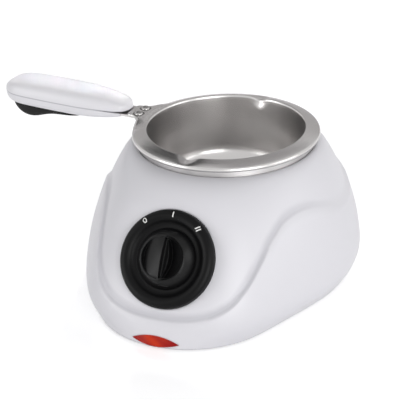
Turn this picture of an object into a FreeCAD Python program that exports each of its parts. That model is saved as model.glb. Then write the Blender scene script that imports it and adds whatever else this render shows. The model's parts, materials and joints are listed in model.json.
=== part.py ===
import FreeCAD, Part
import math
import os
from FreeCAD import Placement, Rotation, Vector

os.makedirs("parts", exist_ok=True)

# A small electric fondue pot: a lift-out steel pot with one handle in a heated plastic stand.
# Sizes are millimetres, angles are degrees.
# +Z is up, the dial faces -Y, the handle points to -X, and the origin is on the table under
# the middle of the pot.

# Stand, outside
FOOT_GAP = 1.5           # housing edge above the table
COLLAR_Z = 87.0          # top of the housing
COLLAR_R = 59.5          # crown circle that every section is drawn towards
WALL = 2.4               # moulded wall
STEP = 2.0               # how far the skirt and side panels stand proud of the upper body
STEP_SLOPE = 0.9         # rise of the step per millimetre inwards, so that its edge is soft

# Base outline at the table: distance from the pot's axis at angles from the front
PLAN = [(0, 120.6), (9, 119.0), (18, 114.2), (27, 106.4), (38, 94.6), (52, 85.2), (68, 80.9),
        (86, 79.2), (105, 78.6), (130, 78.2), (155, 78.6), (180, 79.0)]
# Height, then the share of the way from the crown circle to the base outline,
# in front and at the sides
SHARES = [(FOOT_GAP, 1.000, 1.000), (6, 0.985, 1.140), (13, 0.950, 1.290), (26, 0.855, 1.300),
          (40, 0.715, 1.180), (53, 0.585, 0.995), (66, 0.455, 0.755), (76, 0.345, 0.500),
          (82, 0.235, 0.305), (85.5, 0.110, 0.135), (COLLAR_Z, 0.000, 0.000)]
FRONT_SPREAD = 55        # the front profile has gone over to the side profile at this angle
# Height of the S-curved step line at angles from the front
STEP_LINE = [(0, 18.0), (11, 19.4), (20, 24.8), (27, 35.0), (34, 48.5), (41, 59.5), (50, 66.0), (61, 66.5),
             (74, 62.0), (92, 55.0), (112, 58.0), (140, 64.0), (180, 66.0)]

# Dial, on the leaning front
DIAL_Y = 95.6            # seat plane's centre, in front of the axis
DIAL_Z = 48.0
DIAL_TILT = 32.6         # lean from upright
DIAL_R = 30.1
DIAL_RIM = 6.4           # crest of the ring above the seat
DIAL_CREST = 26.4        # radius of that crest
DIAL_EDGE = 2.6          # fall from the crest to the ring's outer edge
DIAL_DISH = 19.4         # radius where the slope reaches the dished middle
DIAL_FLOOR = 3.6         # floor of the dish above the seat
DIAL_SKIN = 0.9          # thickness of the dish over the nut
SEAT_WALL = 3.0
KNOB_R = 18.8
KNOB_RING_R = 15.2
KNOB_RING_H = 5.8        # ring above the dish floor
KNOB_H = 10.4            # blade above the dish floor
KNOB_CROWN = 5.0         # the blade's ridge falls this much towards its ends
KNOB_SWING = 40          # each way from the middle position
SPINDLE_R = 3.0
BUSH_R = 5.0

# Switch behind the dial
SWITCH_R = 11.5
SWITCH_DEPTH = 14.0
NUT_R = 7.0
NUT_T = 2.0
PEG_R = 1.8
PEGS = (-20.0, 20.0)     # bezel pegs left and right of the spindle
KNOB_BLADE_HALF = 6.2    # at the foot of the blade
KNOB_FLOOR = 2.2         # thickness under the finger recesses

# Power lamp
LENS_Y = 119.0
NEON_R = 3.0
NEON_L = 13.0
NEON_Y = 110.5
LENS_HALF = 15.2
LENS_RISE = 3.2          # half of the leaf's height
LENS_Z = 4.2
LENS_TILT = 28

# Bottom
COVER_Z = 2.3
COVER_T = 2.0
FOOT_R = 6.0
FOOT_RECESS = 1.2
FOOT_SPOTS = [(38, -84), (-38, -84), (50, 44), (-50, 44)]
SCREW_SPOTS = [(52, -63), (-52, -63), (62, 28), (-62, 28)]
SCREW_R = 1.6
BOSS_R = 4.0
BOSS_TOP = 22.0
RIB_T = 1.6              # rib from each boss to the wall
SCREW_LENGTH = 9.0
VENTS = 7
VENT_PITCH = 7.0
VENT_W = 2.6
VENT_HALF = 22.0

# Mains inlet in the rear wall
GLAND_R = 5.0
GLAND_BORE_R = 3.4
GLAND_Y = 86.0           # outer face of the wall
GLAND_Z = 18.0
TERMINAL_Y = 58.0

# Well and heater
LINER_R = 57.1           # steel band that shows above the collar
LINER_T = 0.8
LINER_TOP = 91.2
LINER_BOTTOM = 46.0      # inside floor
LINER_CORNER = 9.0
LUG_Z = 66.0             # flange that is screwed up to the housing
LUG_R = 63.0
LUG_ANGLES = (60, 180, 300)
LUG_BOSS_R = 4.0
LUG_SCREW = 7.0
FUSE_R = 2.0
FUSE_L = 11.0
FUSE_Y = 14.0
PLATE_R = 38.0
PLATE_T = 5.0
HUB_R = 28.0
HUB_T = 2.4
ELEMENT_T = 2.0
CLAMP_T = 1.5
CENTRE_SCREW_R = 2.5

# Pot
MOUTH_R = 50.4
MOUTH_Z = 96.6
RIM_R = 60.0
RIM_DROP = 3.0           # the rim falls this much from the mouth to its edge
SHEET = 1.0
POT_BASE_R = 36.0
POT_CORNER = 11.0
RIM_EDGE = 2.0           # the rim's edge is turned down by this much
SPOUT_HALF = 9.5
SPOUT_DEPTH = 4.4
POT_TURN = -4            # the pot stands turned a little in its seat
TAB_END = RIM_R + 8.0    # riveted tab on the flange
TAB_HALF = 8.2
TAB_CORNER = 2.0
TAB_FLARE = 7.0          # radius of the curve between tab and flange
RIVET_X = RIM_R + 0.6
RIVET_Y = 4.6
RIVET_R = 1.5
RIVET_HEAD_R = 3.0
RIVET_HEAD_H = 1.6

# Handle, along its own axis out from the pot
TANG_T = 1.5
TANG_HALF = 7.6
TANG_START = RIM_R - 4.6
TANG_L = 72.3            # inside the handle
HANDLE_RISE = 1.45
HANDLE_START = RIM_R + 8.7
HANDLE_L = 93.7
SEAM_Z = 96.95           # height of the seam at the handle's root
# Distance from the root, half width, height above the seam, depth below the seam
HANDLE = [(0, 8.0, 5.2, 3.4), (6.7, 9.6, 6.4, 4.4), (14.7, 11.7, 7.9, 5.6), (26.7, 13.6, 9.0, 6.6),
          (44.8, 14.5, 9.4, 7.0), (67.3, 14.6, 9.2, 7.0), (HANDLE_L, 13.6, 8.4, 6.6)]
SEAM_STEP = 0.3          # the lower shell is this much narrower on each side
SLIT_L = 22.0            # slit between the shells, from the root
SLIT_H = 1.7
HANDLE_WALL = 2.0
HANDLE_FLOOR = 3.6       # depth of the hollow in the lower shell
ROOT_ROUND = 6.0         # length over which the root rounds off
TIP_ROUND = 15.0
# Soft grip under the handle: distance from the root, half width, depth below its seat
GRIP_SEAT = 5.0
GRIP = [(28.3, 7.2, 2.4), (37.3, 10.0, 4.6), (48.3, 10.8, 5.9), (57.3, 10.8, 7.2), (65.3, 10.8, 9.8),
        (72.3, 10.4, 11.5), (79.3, 9.4, 10.6), (85.3, 7.2, 6.8), (88.3, 4.5, 2.8)]
HANDLE_SCREWS = [18.3, 58.3]
HANDLE_SCREW_R = 1.4
HANDLE_BOSS_R = 4.0
HANDLE_HEAD_R = 2.7
HANDLE_HEAD_H = 1.2
HANDLE_HEAD_Z = -3.7     # bearing face below the seam
HANDLE_SCREW_TOP = 4.5

CLEAR = 0.3              # between pieces that move or slip together
SNUG = 0.1               # round screws and pins
RUN = 0.06               # spindle in its bush

Z = Vector(0, 0, 1)
ORIGIN = Vector(0, 0, 0)


def profile(items, place):
    """Face inside a run of points; a pair of points is an arc through the first to the second."""
    edges = []
    here = items[0]
    for item in items[1:] + [items[0]]:
        if isinstance(item[0], tuple):
            via, end = item
            edges.append(Part.Arc(place(*here), place(*via), place(*end)).toShape())
        else:
            end = item
            if place(*here).distanceToPoint(place(*end)) > 1e-6:
                edges.append(Part.LineSegment(place(*here), place(*end)).toShape())
        here = end
    return Part.Face(Part.Wire(edges))


def turned(items):
    """Solid of revolution about Z from radius and height pairs."""
    return profile(items, lambda r, z: Vector(r, 0, z)).revolve(ORIGIN, Z, 360)


def disc(radius, z0, z1, x=0, y=0):
    return Part.makeCylinder(radius, z1 - z0, Vector(x, y, z0))


def ring(outer, inner, z0, z1):
    return disc(outer, z0, z1).cut(disc(inner, z0 - 1, z1 + 1))


def slab(x0, x1, y0, y1, z0, z1):
    return Part.makeBox(x1 - x0, y1 - y0, z1 - z0, Vector(x0, y0, z0))


def placed(shape, frame):
    moved = shape.copy()
    moved.Placement = frame.multiply(moved.Placement)
    return moved


def merge(shapes):
    body = shapes[0]
    for other in shapes[1:]:
        body = body.fuse(other)
    return body.removeSplitter()


def smooth(share):
    share = min(max(share, 0.0), 1.0)
    return share * share * (3 - 2 * share)


def spline_through(points):
    """Function of the angle through (angle, value) pairs that mirror about the front."""
    far = [(360 - a, v) for a, v in reversed(points[1:-1])]
    near = [(a - 360, v) for a, v in points[-4:-1]]
    path = Part.BSplineCurve()
    path.interpolate([Vector(a, v, 0) for a, v in near + points + far])

    def value(angle):
        line = Part.Line(Vector(angle, 0, 0), Vector(angle, 1, 0))
        return path.intersectCC(line)[0].Y

    return value


def part_way(table, z, column):
    """Straight interpolation in a table of rows that start with a height or a distance."""
    for low, high in zip(table, table[1:]):
        if z <= high[0]:
            share = (z - low[0]) / (high[0] - low[0])
            return low[column] + (high[column] - low[column]) * share
    return table[-1][column]


# Housing form

ANGLES = [a for a, _ in PLAN] + [360 - a for a, _ in reversed(PLAN[1:-1])]
RADII = [r for _, r in PLAN] + [r for _, r in reversed(PLAN[1:-1])]


PLAN_REACH = spline_through(PLAN)
STEP_HEIGHT = spline_through(STEP_LINE)


def knots_along(points):
    """Parameters for a closed curve, spaced as the points are."""
    knots = [0.0]
    for here, ahead in zip(points, points[1:] + points[:1]):
        knots.append(knots[-1] + here.distanceToPoint(ahead))
    return knots


PLAN_KNOTS = knots_along([Vector(r * math.sin(math.radians(a)), -r * math.cos(math.radians(a)), 0)
                          for a, r in zip(ANGLES, RADII)])
STEP_POINTS = 48
STEP_CORE = 20.0         # the step surface runs in to this radius


def closed_curve(points):
    curve = Part.BSplineCurve()
    curve.interpolate(Points=points, PeriodicFlag=True, Parameters=[float(i) for i in range(len(points) + 1)])
    return curve.toShape()


def section(row, out, z):
    """Closed curve round the stand for one row of SHARES, moved outwards by out."""
    _, front, side = row
    points = []
    for angle, radius in zip(ANGLES, RADII):
        turn = min(angle, 360 - angle)
        blend = smooth(turn / FRONT_SPREAD)
        share = front + (side - front) * blend
        reach = COLLAR_R + (radius - COLLAR_R) * share
        a = math.radians(angle)
        points.append(Vector(reach * math.sin(a), -reach * math.cos(a), z))
    curve = Part.BSplineCurve()
    curve.interpolate(Points=points, PeriodicFlag=True, Parameters=PLAN_KNOTS)
    if out:
        moved = []
        for point in points:
            along = curve.tangent(curve.parameter(point))[0]
            moved.append(point + Vector(along.y, -along.x, 0).normalize() * out)
        curve = Part.BSplineCurve()
        curve.interpolate(Points=moved, PeriodicFlag=True, Parameters=PLAN_KNOTS)
    return curve


def form(out, drop):
    """The stand as one smooth solid, moved outwards by out, its top lowered by drop."""
    scale = (COLLAR_Z - drop) / COLLAR_Z
    rows = [section(row, out, row[0] * scale) for row in SHARES]
    return Part.makeLoft([Part.Wire(curve.toShape()) for curve in rows], True, False)


def above_step(out, drop):
    """Everything above the step surface, which follows the S-curved line round the stand."""
    inner = []
    outer = []
    for i in range(STEP_POINTS):
        angle = 360 * (i + 0.5) / STEP_POINTS
        turn = min(angle, 360 - angle)
        z = STEP_HEIGHT(turn)
        blend = smooth(turn / FRONT_SPREAD)
        front = part_way(SHARES, z, 1)
        side = part_way(SHARES, z, 2)
        share = front + (side - front) * blend
        reach = COLLAR_R + (PLAN_REACH(turn) - COLLAR_R) * share + out
        a = math.radians(angle)
        ray = Vector(math.sin(a), -math.cos(a), 0)
        for loop, radius in ((inner, STEP_CORE), (outer, reach + 8)):
            loop.append(ray * radius + Z * (z - drop + (reach - radius) * STEP_SLOPE))
    low_in = closed_curve(inner)
    low_out = closed_curve(outer)
    top = max(p.z for p in inner) + 5
    high_in = closed_curve([Vector(p.x, p.y, top) for p in inner])
    high_out = closed_curve([Vector(p.x, p.y, top) for p in outer])
    cap = Part.makeFace([Part.Wire(high_out), Part.Wire(high_in)], "Part::FaceMakerBullseye")
    sides = [Part.makeRuledSurface(low_in, low_out), Part.makeRuledSurface(low_out, high_out),
             Part.makeRuledSurface(low_in, high_in)]
    shell = Part.makeShell([face for side in sides + [cap] for face in side.Faces])
    shell.sewShape()
    solid = Part.makeSolid(shell)
    solid.fix(0.001, 0.001, 0.001)
    return solid


def stepped_form(inset, drop):
    """Upper body and proud skirt together, moved inwards by inset."""
    half = STEP / 2
    upper = form(-half - inset, drop)
    skirt = form(half - inset, drop).cut(above_step(-inset, drop))
    return upper.fuse(skirt)


# Places and sizes that follow from the ones above

COVER_TOP = COVER_Z + COVER_T
PLATE_TOP = LINER_BOTTOM + PLATE_T
HUB_LOW = LINER_BOTTOM - HUB_T
CLAMP_LOW = HUB_LOW - ELEMENT_T - CLAMP_T
SPINDLE_LOW = -SEAT_WALL - SWITCH_DEPTH + 5
SPINDLE_TOP = DIAL_FLOOR + KNOB_H - 5
LUG_SPOTS = [(LUG_R * math.sin(math.radians(a)), -LUG_R * math.cos(math.radians(a))) for a in LUG_ANGLES]
LUG_EDGE = LUG_R + LUG_BOSS_R
NEON_Z = COVER_TOP + NEON_R + 0.8

DIAL_FRAME = Placement(Vector(0, -DIAL_Y, DIAL_Z), Rotation(Vector(1, 0, 0), 90 - DIAL_TILT))
LENS_FRAME = Placement(Vector(0, -LENS_Y, LENS_Z), Rotation(Vector(1, 0, 0), 90 - LENS_TILT))
GLAND_FRAME = Placement(Vector(0, GLAND_Y, GLAND_Z), Rotation(Vector(1, 0, 0), -90))
POT_FRAME = Placement(ORIGIN, Rotation(Z, 180 + POT_TURN))
HANDLE_FRAME = Placement(Vector(HANDLE_START, 0, SEAM_Z), Rotation(Vector(0, 1, 0), -HANDLE_RISE))
TANG_BELOW_SEAM = SEAM_Z - (MOUTH_Z - SHEET)


# Stand

def leaf(half, rise, z0, z1):
    """Prism of the lamp's leaf outline in the lamp's own frame."""
    across = [(-half, 0), ((0, rise), (half, 0)), ((0, -rise), (-half, 0))]
    return profile(across, lambda x, y: Vector(x, y, z0)).extrude(Z * (z1 - z0))


def rib(x, y):
    """Upright rib that runs outwards from a boss at x, y."""
    wide = slab(0, 40, -RIB_T / 2, RIB_T / 2, COVER_TOP, BOSS_TOP)
    return placed(wide, Placement(Vector(x, y, 0), Rotation(Z, math.degrees(math.atan2(y, x)))))


def housing(outer, cavity):
    pads = [placed(disc(DIAL_R + CLEAR + WALL, -SEAT_WALL, 25), DIAL_FRAME)]
    pads += [disc(BOSS_R, COVER_TOP, BOSS_TOP, x, y).fuse(rib(x, y)) for x, y in SCREW_SPOTS]
    pads += [disc(LUG_BOSS_R, LUG_Z, COLLAR_Z, x, y) for x, y in LUG_SPOTS]
    shell = outer.cut(cavity).fuse(outer.common(pads))
    cuts = [disc(LINER_R + CLEAR, LUG_Z, COLLAR_Z + 5),
            placed(disc(DIAL_R + CLEAR, 0, 30), DIAL_FRAME),
            placed(disc(BUSH_R + SNUG, -SEAT_WALL - 5, 5), DIAL_FRAME),
            placed(leaf(LENS_HALF + SNUG, LENS_RISE + SNUG, -12, 12), LENS_FRAME),
            placed(disc(GLAND_R + SNUG, -15, 15), GLAND_FRAME)]
    cuts += [placed(disc(PEG_R + SNUG, -SEAT_WALL - 5, 5, x, 0), DIAL_FRAME) for x in PEGS]
    cuts += [disc(SCREW_R + SNUG, COVER_TOP - 1, COVER_TOP + SCREW_LENGTH, x, y) for x, y in SCREW_SPOTS]
    cuts += [disc(SCREW_R + SNUG, LUG_Z - 1, LUG_Z + LUG_SCREW, x, y) for x, y in LUG_SPOTS]
    return shell.cut(cuts)


def bottom_cover():
    inside = form(STEP / 2 - WALL - CLEAR, 0)
    plate = inside.common(slab(-200, 200, -200, 200, COVER_Z, COVER_TOP))
    cuts = [disc(FOOT_R + SNUG, 0, COVER_Z + FOOT_RECESS, x, y) for x, y in FOOT_SPOTS]
    cuts += [disc(SCREW_R + SNUG, 0, COVER_TOP + 1, x, y) for x, y in SCREW_SPOTS]
    for i in range(VENTS):
        y = VENT_PITCH * (i - (VENTS - 1) / 2)
        cuts.append(slab(-VENT_HALF, VENT_HALF, y - VENT_W / 2, y + VENT_W / 2, 0, COVER_TOP + 1))
    return plate.cut(cuts)


def feet():
    return [disc(FOOT_R, 0, COVER_Z + FOOT_RECESS, x, y) for x, y in FOOT_SPOTS]


def pan_screw(radius, head_r, head_h, length):
    """Screw with its head below the origin and its shank up to length."""
    return merge([disc(head_r, -head_h, 0), disc(radius, -head_h, length)])


def base_screws():
    screw = pan_screw(SCREW_R, 3.0, 1.3, COVER_T + SCREW_LENGTH - 1)
    return [placed(screw, Placement(Vector(x, y, COVER_Z), Rotation())) for x, y in SCREW_SPOTS]


def well_liner():
    r = LINER_R
    t = LINER_T
    low = LINER_BOTTOM
    c = LINER_CORNER
    k = c * (1 - math.sqrt(0.5))
    d = c + t
    m = d * (1 - math.sqrt(0.5))
    cup = turned([(HUB_R + CLEAR, low - t), (r - d, low - t), ((r - m, low - t + m), (r, low - t + d)),
                  (r, LUG_Z - t), (LUG_EDGE, LUG_Z - t), (LUG_EDGE, LUG_Z), (r, LUG_Z),
                  (r, LINER_TOP - 0.4), ((r - 0.4, LINER_TOP), (r - t, LINER_TOP - 0.4)),
                  (r - t, low + c), ((r - t - k, low + k), (r - t - c, low)), (HUB_R + CLEAR, low)])
    for x, y in LUG_SPOTS:
        cup = cup.cut(disc(SCREW_R + SNUG, LUG_Z - 2, LUG_Z + 1, x, y))
    return cup


def liner_screws():
    screw = pan_screw(SCREW_R, 2.9, 1.6, LUG_SCREW - 1)
    return [placed(screw, Placement(Vector(x, y, LUG_Z - LINER_T), Rotation())) for x, y in LUG_SPOTS]


def heater_plate():
    top = PLATE_TOP
    plate = turned([(0, HUB_LOW), (HUB_R, HUB_LOW), (HUB_R, LINER_BOTTOM), (PLATE_R, LINER_BOTTOM),
                    (PLATE_R, top - 1), ((PLATE_R - 0.3, top - 0.3), (PLATE_R - 1, top)), (0, top)])
    return plate.cut(disc(CENTRE_SCREW_R + SNUG, HUB_LOW - 1, top - 2))


def heating_element():
    return ring(HUB_R - 2, CENTRE_SCREW_R + 1.5, HUB_LOW - ELEMENT_T, HUB_LOW)


def element_clamp():
    low = CLAMP_LOW
    up = low + CLAMP_T
    under = LINER_BOTTOM - LINER_T
    inner = HUB_R + 0.8
    hole = CENTRE_SCREW_R + SNUG
    return turned([(hole, low), (inner + CLAMP_T, low), (inner + CLAMP_T, under - CLAMP_T),
                   (inner + 6, under - CLAMP_T), (inner + 6, under), (inner, under), (inner, up),
                   (hole, up)])


def centre_screw():
    screw = pan_screw(CENTRE_SCREW_R, 4.6, 2.8, PLATE_TOP - 2.5 - CLAMP_LOW)
    return placed(screw, Placement(Vector(0, 0, CLAMP_LOW), Rotation()))


def thermal_fuse():
    body = Part.makeCylinder(FUSE_R, FUSE_L, Vector(-FUSE_L / 2, FUSE_Y, CLAMP_LOW - FUSE_R), Vector(1, 0, 0))
    leads = [Part.makeCylinder(0.5, 8, Vector(x, FUSE_Y, CLAMP_LOW - FUSE_R), Vector(1, 0, 0))
             for x in (-FUSE_L / 2 - 8, FUSE_L / 2)]
    return merge([body] + leads)


def fuse_strap():
    """Sheet strap bent over the fuse, its two ends flat against the clamp."""
    r = FUSE_R + SNUG
    t = 0.6
    mid = CLAMP_LOW - FUSE_R
    end = r + 5
    across = [(-end, CLAMP_LOW), (-end, CLAMP_LOW - t), (-r - t, CLAMP_LOW - t), (-r - t, mid),
              ((0, mid - r - t), (r + t, mid)), (r + t, CLAMP_LOW - t), (end, CLAMP_LOW - t),
              (end, CLAMP_LOW), (r, CLAMP_LOW), (r, mid), ((0, mid - r), (-r, mid)), (-r, CLAMP_LOW)]
    face = profile(across, lambda y, z: Vector(-3, FUSE_Y + y, z))
    return face.extrude(Vector(6, 0, 0))


# Dial, switch and knob, in the dial's frame: its X is the object's X, its Y runs up the face

def s_slope(r0, z0, r1, z1):
    """Two equal arcs, level at both ends, from the first point down to the second."""
    bend = ((r1 - r0) ** 2 + (z1 - z0) ** 2) / (4 * abs(z1 - z0))
    half = math.asin(abs(r1 - r0) / 2 / bend) / 2
    along = math.copysign(bend * math.sin(half), r1 - r0)
    fall = math.copysign(bend * (1 - math.cos(half)), z1 - z0)
    middle = ((r0 + r1) / 2, (z0 + z1) / 2)
    return [((r0 + along, z0 + fall), middle), ((r1 - along, z1 - fall), (r1, z1))]


def dial_bezel():
    rim = DIAL_RIM
    top = DIAL_FLOOR - DIAL_SKIN
    # The outer edge is an arc that is level at the crest
    wide = DIAL_R - DIAL_CREST
    bend = (wide ** 2 + DIAL_EDGE ** 2) / (2 * DIAL_EDGE)
    half = math.atan2(DIAL_EDGE, wide)
    via = (DIAL_CREST + bend * math.sin(half), rim - bend * (1 - math.cos(half)))
    disk = turned([(SPINDLE_R + 1, top), (NUT_R + 1.5, top), (NUT_R + 1.5, 0), (DIAL_R, 0),
                   (DIAL_R, rim - DIAL_EDGE), (via, (DIAL_CREST, rim))]
                  + s_slope(DIAL_CREST, rim, DIAL_DISH, DIAL_FLOOR) + [(SPINDLE_R + 1, DIAL_FLOOR)])
    return merge([disk] + [disc(PEG_R, -SEAT_WALL - 1, 0.5, x, 0) for x in PEGS])


def rotary_switch():
    can = disc(SWITCH_R, -SEAT_WALL - SWITCH_DEPTH, -SEAT_WALL)
    bush = disc(BUSH_R, -SEAT_WALL - 1, NUT_T + 0.4)
    tabs = [slab(x - 2, x + 2, -0.4, 0.4, -SEAT_WALL - SWITCH_DEPTH - 6, -SEAT_WALL - SWITCH_DEPTH + 1)
            for x in (-7, 0, 7)]
    body = merge([can, bush] + tabs)
    return body.cut(disc(SPINDLE_R + RUN, SPINDLE_LOW - RUN, 5))


def switch_nut():
    flat = Part.makePolygon([Vector(NUT_R * math.cos(math.radians(60 * i)),
                                    NUT_R * math.sin(math.radians(60 * i)), 0) for i in range(7)])
    return Part.Face(flat).extrude(Z * NUT_T).cut(disc(BUSH_R + SNUG, -1, NUT_T + 1))


def switch_spindle():
    return disc(SPINDLE_R, SPINDLE_LOW, SPINDLE_TOP)


def blade_plan(half, reach, z):
    """Pointed oval, the blade's outline at one height."""
    return profile([(0, -reach), ((half, 0), (0, reach)), ((-half, 0), (0, -reach))],
                   lambda x, y: Vector(x, y, z)).OuterWire


def control_knob():
    low = DIAL_FLOOR + CLEAR
    edge = DIAL_FLOOR + KNOB_RING_H
    floor = low + KNOB_FLOOR
    top = DIAL_FLOOR + KNOB_H
    r = KNOB_RING_R
    body = turned([(0, low), (KNOB_R, low), (KNOB_R, low + 0.6), ((r + 1.9, edge - 3.4), (r + 1.0, edge - 0.8)),
                   ((r + 0.65, edge - 0.25), (r, edge)), (0, edge)])
    recess = turned([(0, floor), (r - 7, floor), ((r - 3.2, floor + 0.7), (r - 0.8, edge - 0.6)),
                     ((r - 0.5, edge - 0.15), (r, edge)), (r, edge + 1), (0, edge + 1)])
    blade = Part.makeLoft([blade_plan(KNOB_BLADE_HALF, KNOB_R - 1, low + 0.4),
                           blade_plan(SPINDLE_R + 1.0, KNOB_R - 1, SPINDLE_TOP + 0.4),
                           blade_plan(0.9, KNOB_R - 1, top + 0.5)], True, False)
    fall = top - KNOB_CROWN
    crown = profile([(-KNOB_R, low), (-KNOB_R, fall), ((0, top), (KNOB_R, fall)), (KNOB_R, low)],
                    lambda y, z: Vector(-KNOB_R, y, z)).extrude(Vector(2 * KNOB_R, 0, 0))
    knob = body.cut(recess).fuse(blade.common(crown))
    return knob.cut(disc(SPINDLE_R + SNUG / 2, low - 1, SPINDLE_TOP + 0.2))


# Power lamp

def lamp_lens():
    """Leaf-shaped window that follows the front, with a flange behind the wall."""
    inside = STEP / 2 - WALL - SNUG
    wall = form(inside, 0)
    window = placed(leaf(LENS_HALF, LENS_RISE, -12, 12), LENS_FRAME)
    window = window.common(form(STEP / 2 + 0.3, 0)).cut(wall)
    wide = placed(leaf(LENS_HALF + 2.5, LENS_RISE + 1.2, -12, 12), LENS_FRAME)
    above = slab(-30, 30, -150, 0, COVER_TOP + CLEAR, 30)
    flange = wide.common(above).common(wall).cut(form(inside - 1.2, 0))
    return window.fuse(flange)


def neon_lamp():
    r = NEON_R
    h = NEON_L / 2
    bulb = turned([(0, -h), (r - 0.6, -h), ((r - 0.2, -h + 0.2), (r, -h + 0.6)), (r, h - 2),
                   ((r * 0.7, h - 0.6), (0.3, h)), (0, h)])
    return placed(bulb, Placement(Vector(0, -NEON_Y, NEON_Z), Rotation(Vector(0, 1, 0), 90)))


def lamp_holder():
    """Cradle on the cover that the lamp lies in."""
    block = slab(-4, 4, -NEON_Y - NEON_R - 1.5, -NEON_Y + NEON_R + 1.5, COVER_TOP, NEON_Z)
    bed = Part.makeCylinder(NEON_R + SNUG, 20, Vector(-10, -NEON_Y, NEON_Z), Vector(1, 0, 0))
    return block.cut(bed)


# Wiring

def terminal_block():
    w = 11.0
    block = slab(-w, w, TERMINAL_Y - 7, TERMINAL_Y + 7, COVER_TOP, COVER_TOP + 12)
    for x in (-w / 2, w / 2):
        wire = Part.makeCylinder(2.2, 16, Vector(x, TERMINAL_Y - 8, COVER_TOP + 4.5), Vector(0, 1, 0))
        block = block.cut(wire)
        block = block.cut(disc(2.6, COVER_TOP + 8, COVER_TOP + 13, x, TERMINAL_Y))
    return block


def cord_gland():
    """Flanged bush in the rear wall; the cord passes through its bore."""
    bush = merge([disc(GLAND_R, -WALL - 3, 1), disc(GLAND_R + 2.2, SNUG, 2.2),
                  disc(GLAND_R + 0.6, -WALL - 1.4, -WALL - 0.4)])
    return bush.cut(disc(GLAND_BORE_R, -20, 20))


# Pot, with its handle along +X before the whole is turned to the photographed side

def rim_top(r):
    return MOUTH_Z - RIM_DROP * (r - MOUTH_R) / (RIM_R - MOUTH_R)


def pot():
    t = SHEET
    z0 = PLATE_TOP
    c = POT_CORNER
    b = POT_BASE_R
    k = c * math.sqrt(0.5)
    m = (c + t) * math.sqrt(0.5)
    wall = b + c
    tip = rim_top(RIM_R)
    edge = RIM_R - 0.9
    lip = MOUTH_R + 1.3
    bowl = turned([(0, z0), (b, z0), ((b + m, z0 + t + c - m), (wall + t, z0 + t + c)),
                   (MOUTH_R + t, rim_top(MOUTH_R + t) - t), (RIM_R - t, rim_top(RIM_R - t) - t),
                   (RIM_R - t, tip - RIM_EDGE), (RIM_R, tip - RIM_EDGE), (RIM_R, tip - 0.9),
                   ((RIM_R - 0.27, tip - 0.1), (edge, rim_top(edge))),
                   (lip, rim_top(lip)), ((MOUTH_R + 0.3, MOUTH_Z - 0.6), (MOUTH_R, MOUTH_Z - 1.7)),
                   (wall, z0 + t + c), ((b + k, z0 + t + c - k), (b, z0 + t)), (0, z0 + t)])
    under = turned([(MOUTH_R, z0 + 20), (RIM_R, z0 + 20), (RIM_R, tip), (MOUTH_R, MOUTH_Z)])
    for side in (-1, 1):
        bowl = bowl.fuse(spout(side, t).common(under)).cut(spout(side, 0))
    # Flat tab over the sloping flange, with a seat for the handle's tang below it
    flat = tab_outline(MOUTH_Z - t).extrude(Z * t)
    wedge_ring = turned([(lip, MOUTH_Z - 3), (RIM_R, tip - t), (RIM_R, MOUTH_Z), (lip, MOUTH_Z)])
    wedge = tab_outline(MOUTH_Z - 10).extrude(Z * 12).common(wedge_ring)
    flat = flat.cut(disc(lip, 0, 200))
    body = bowl.fuse(flat).fuse(wedge)
    seat = slab(TANG_START - CLEAR, TAB_END + 5, -TANG_HALF - CLEAR, TANG_HALF + CLEAR, 80, MOUTH_Z - t)
    body = body.cut(seat)
    for y in (-RIVET_Y, RIVET_Y):
        body = body.cut(disc(RIVET_R + SNUG / 2, 80, 100, RIVET_X, y))
    return body.removeSplitter()


def spout(side, grow):
    """Pressed pouring lip: a trough that is deep at the mouth and runs out at the rim."""
    wide = (SPOUT_HALF ** 2 + SPOUT_DEPTH ** 2) / (2 * SPOUT_DEPTH)
    loops = []
    start = MOUTH_R - 5 if grow == 0 else MOUTH_R
    slope = (wide - 1.2) / (RIM_R - 0.8 - MOUTH_R)
    for r in (start, RIM_R - 0.8):
        radius = 1.2 + slope * (RIM_R - 0.8 - r)
        depth = SPOUT_DEPTH * (RIM_R - 0.8 - r) / (RIM_R - 0.8 - MOUTH_R)
        centre = Vector(0, side * r, rim_top(r) - depth + radius)
        loops.append(Part.Wire(Part.makeCircle(radius + grow, centre, Vector(0, 1, 0))))
    return Part.makeLoft(loops, True, True)


def tab_outline(z):
    """Tab flared into the round flange."""
    e = TAB_END
    h = TAB_HALF
    f = TAB_FLARE
    c = TAB_CORNER
    k = c * (1 - math.sqrt(0.5))
    r = RIM_R - 0.5
    mid = math.sqrt((r + f) ** 2 - (h + f) ** 2)
    lean = math.atan2(h + f, mid)
    half = (math.pi / 2 - lean) / 2
    via_x = mid - f * math.sin(half)
    via_y = h + f - f * math.cos(half)
    start_x = r * math.cos(lean)
    start_y = r * math.sin(lean)
    inner = MOUTH_R - 8
    return profile([(inner, -start_y), (start_x, -start_y), ((via_x, -via_y), (mid, -h)), (e - c, -h),
                    ((e - k, -h + k), (e, -h + c)), (e, h - c), ((e - k, h - k), (e - c, h)), (mid, h),
                    ((via_x, via_y), (start_x, start_y)), (inner, start_y)],
                   lambda x, y: Vector(x, y, z))


def handle_tang():
    top = MOUTH_Z - SHEET
    end = HANDLE_FRAME.multVec(Vector(TANG_L, 0, -TANG_BELOW_SEAM))
    points = [(TANG_START, top), (HANDLE_START, top), (end.x, end.z)]
    low = [(x, z - TANG_T) for x, z in reversed(points)]
    strip = profile(points + low, lambda x, z: Vector(x, -TANG_HALF, z)).extrude(Vector(0, 2 * TANG_HALF, 0))
    for y in (-RIVET_Y, RIVET_Y):
        strip = strip.cut(disc(RIVET_R + SNUG / 2, 80, 110, RIVET_X, y))
    for x in HANDLE_SCREWS:
        strip = strip.cut(disc(HANDLE_SCREW_R + SNUG, 80, 110, HANDLE_START + x, 0))
    return strip


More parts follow.
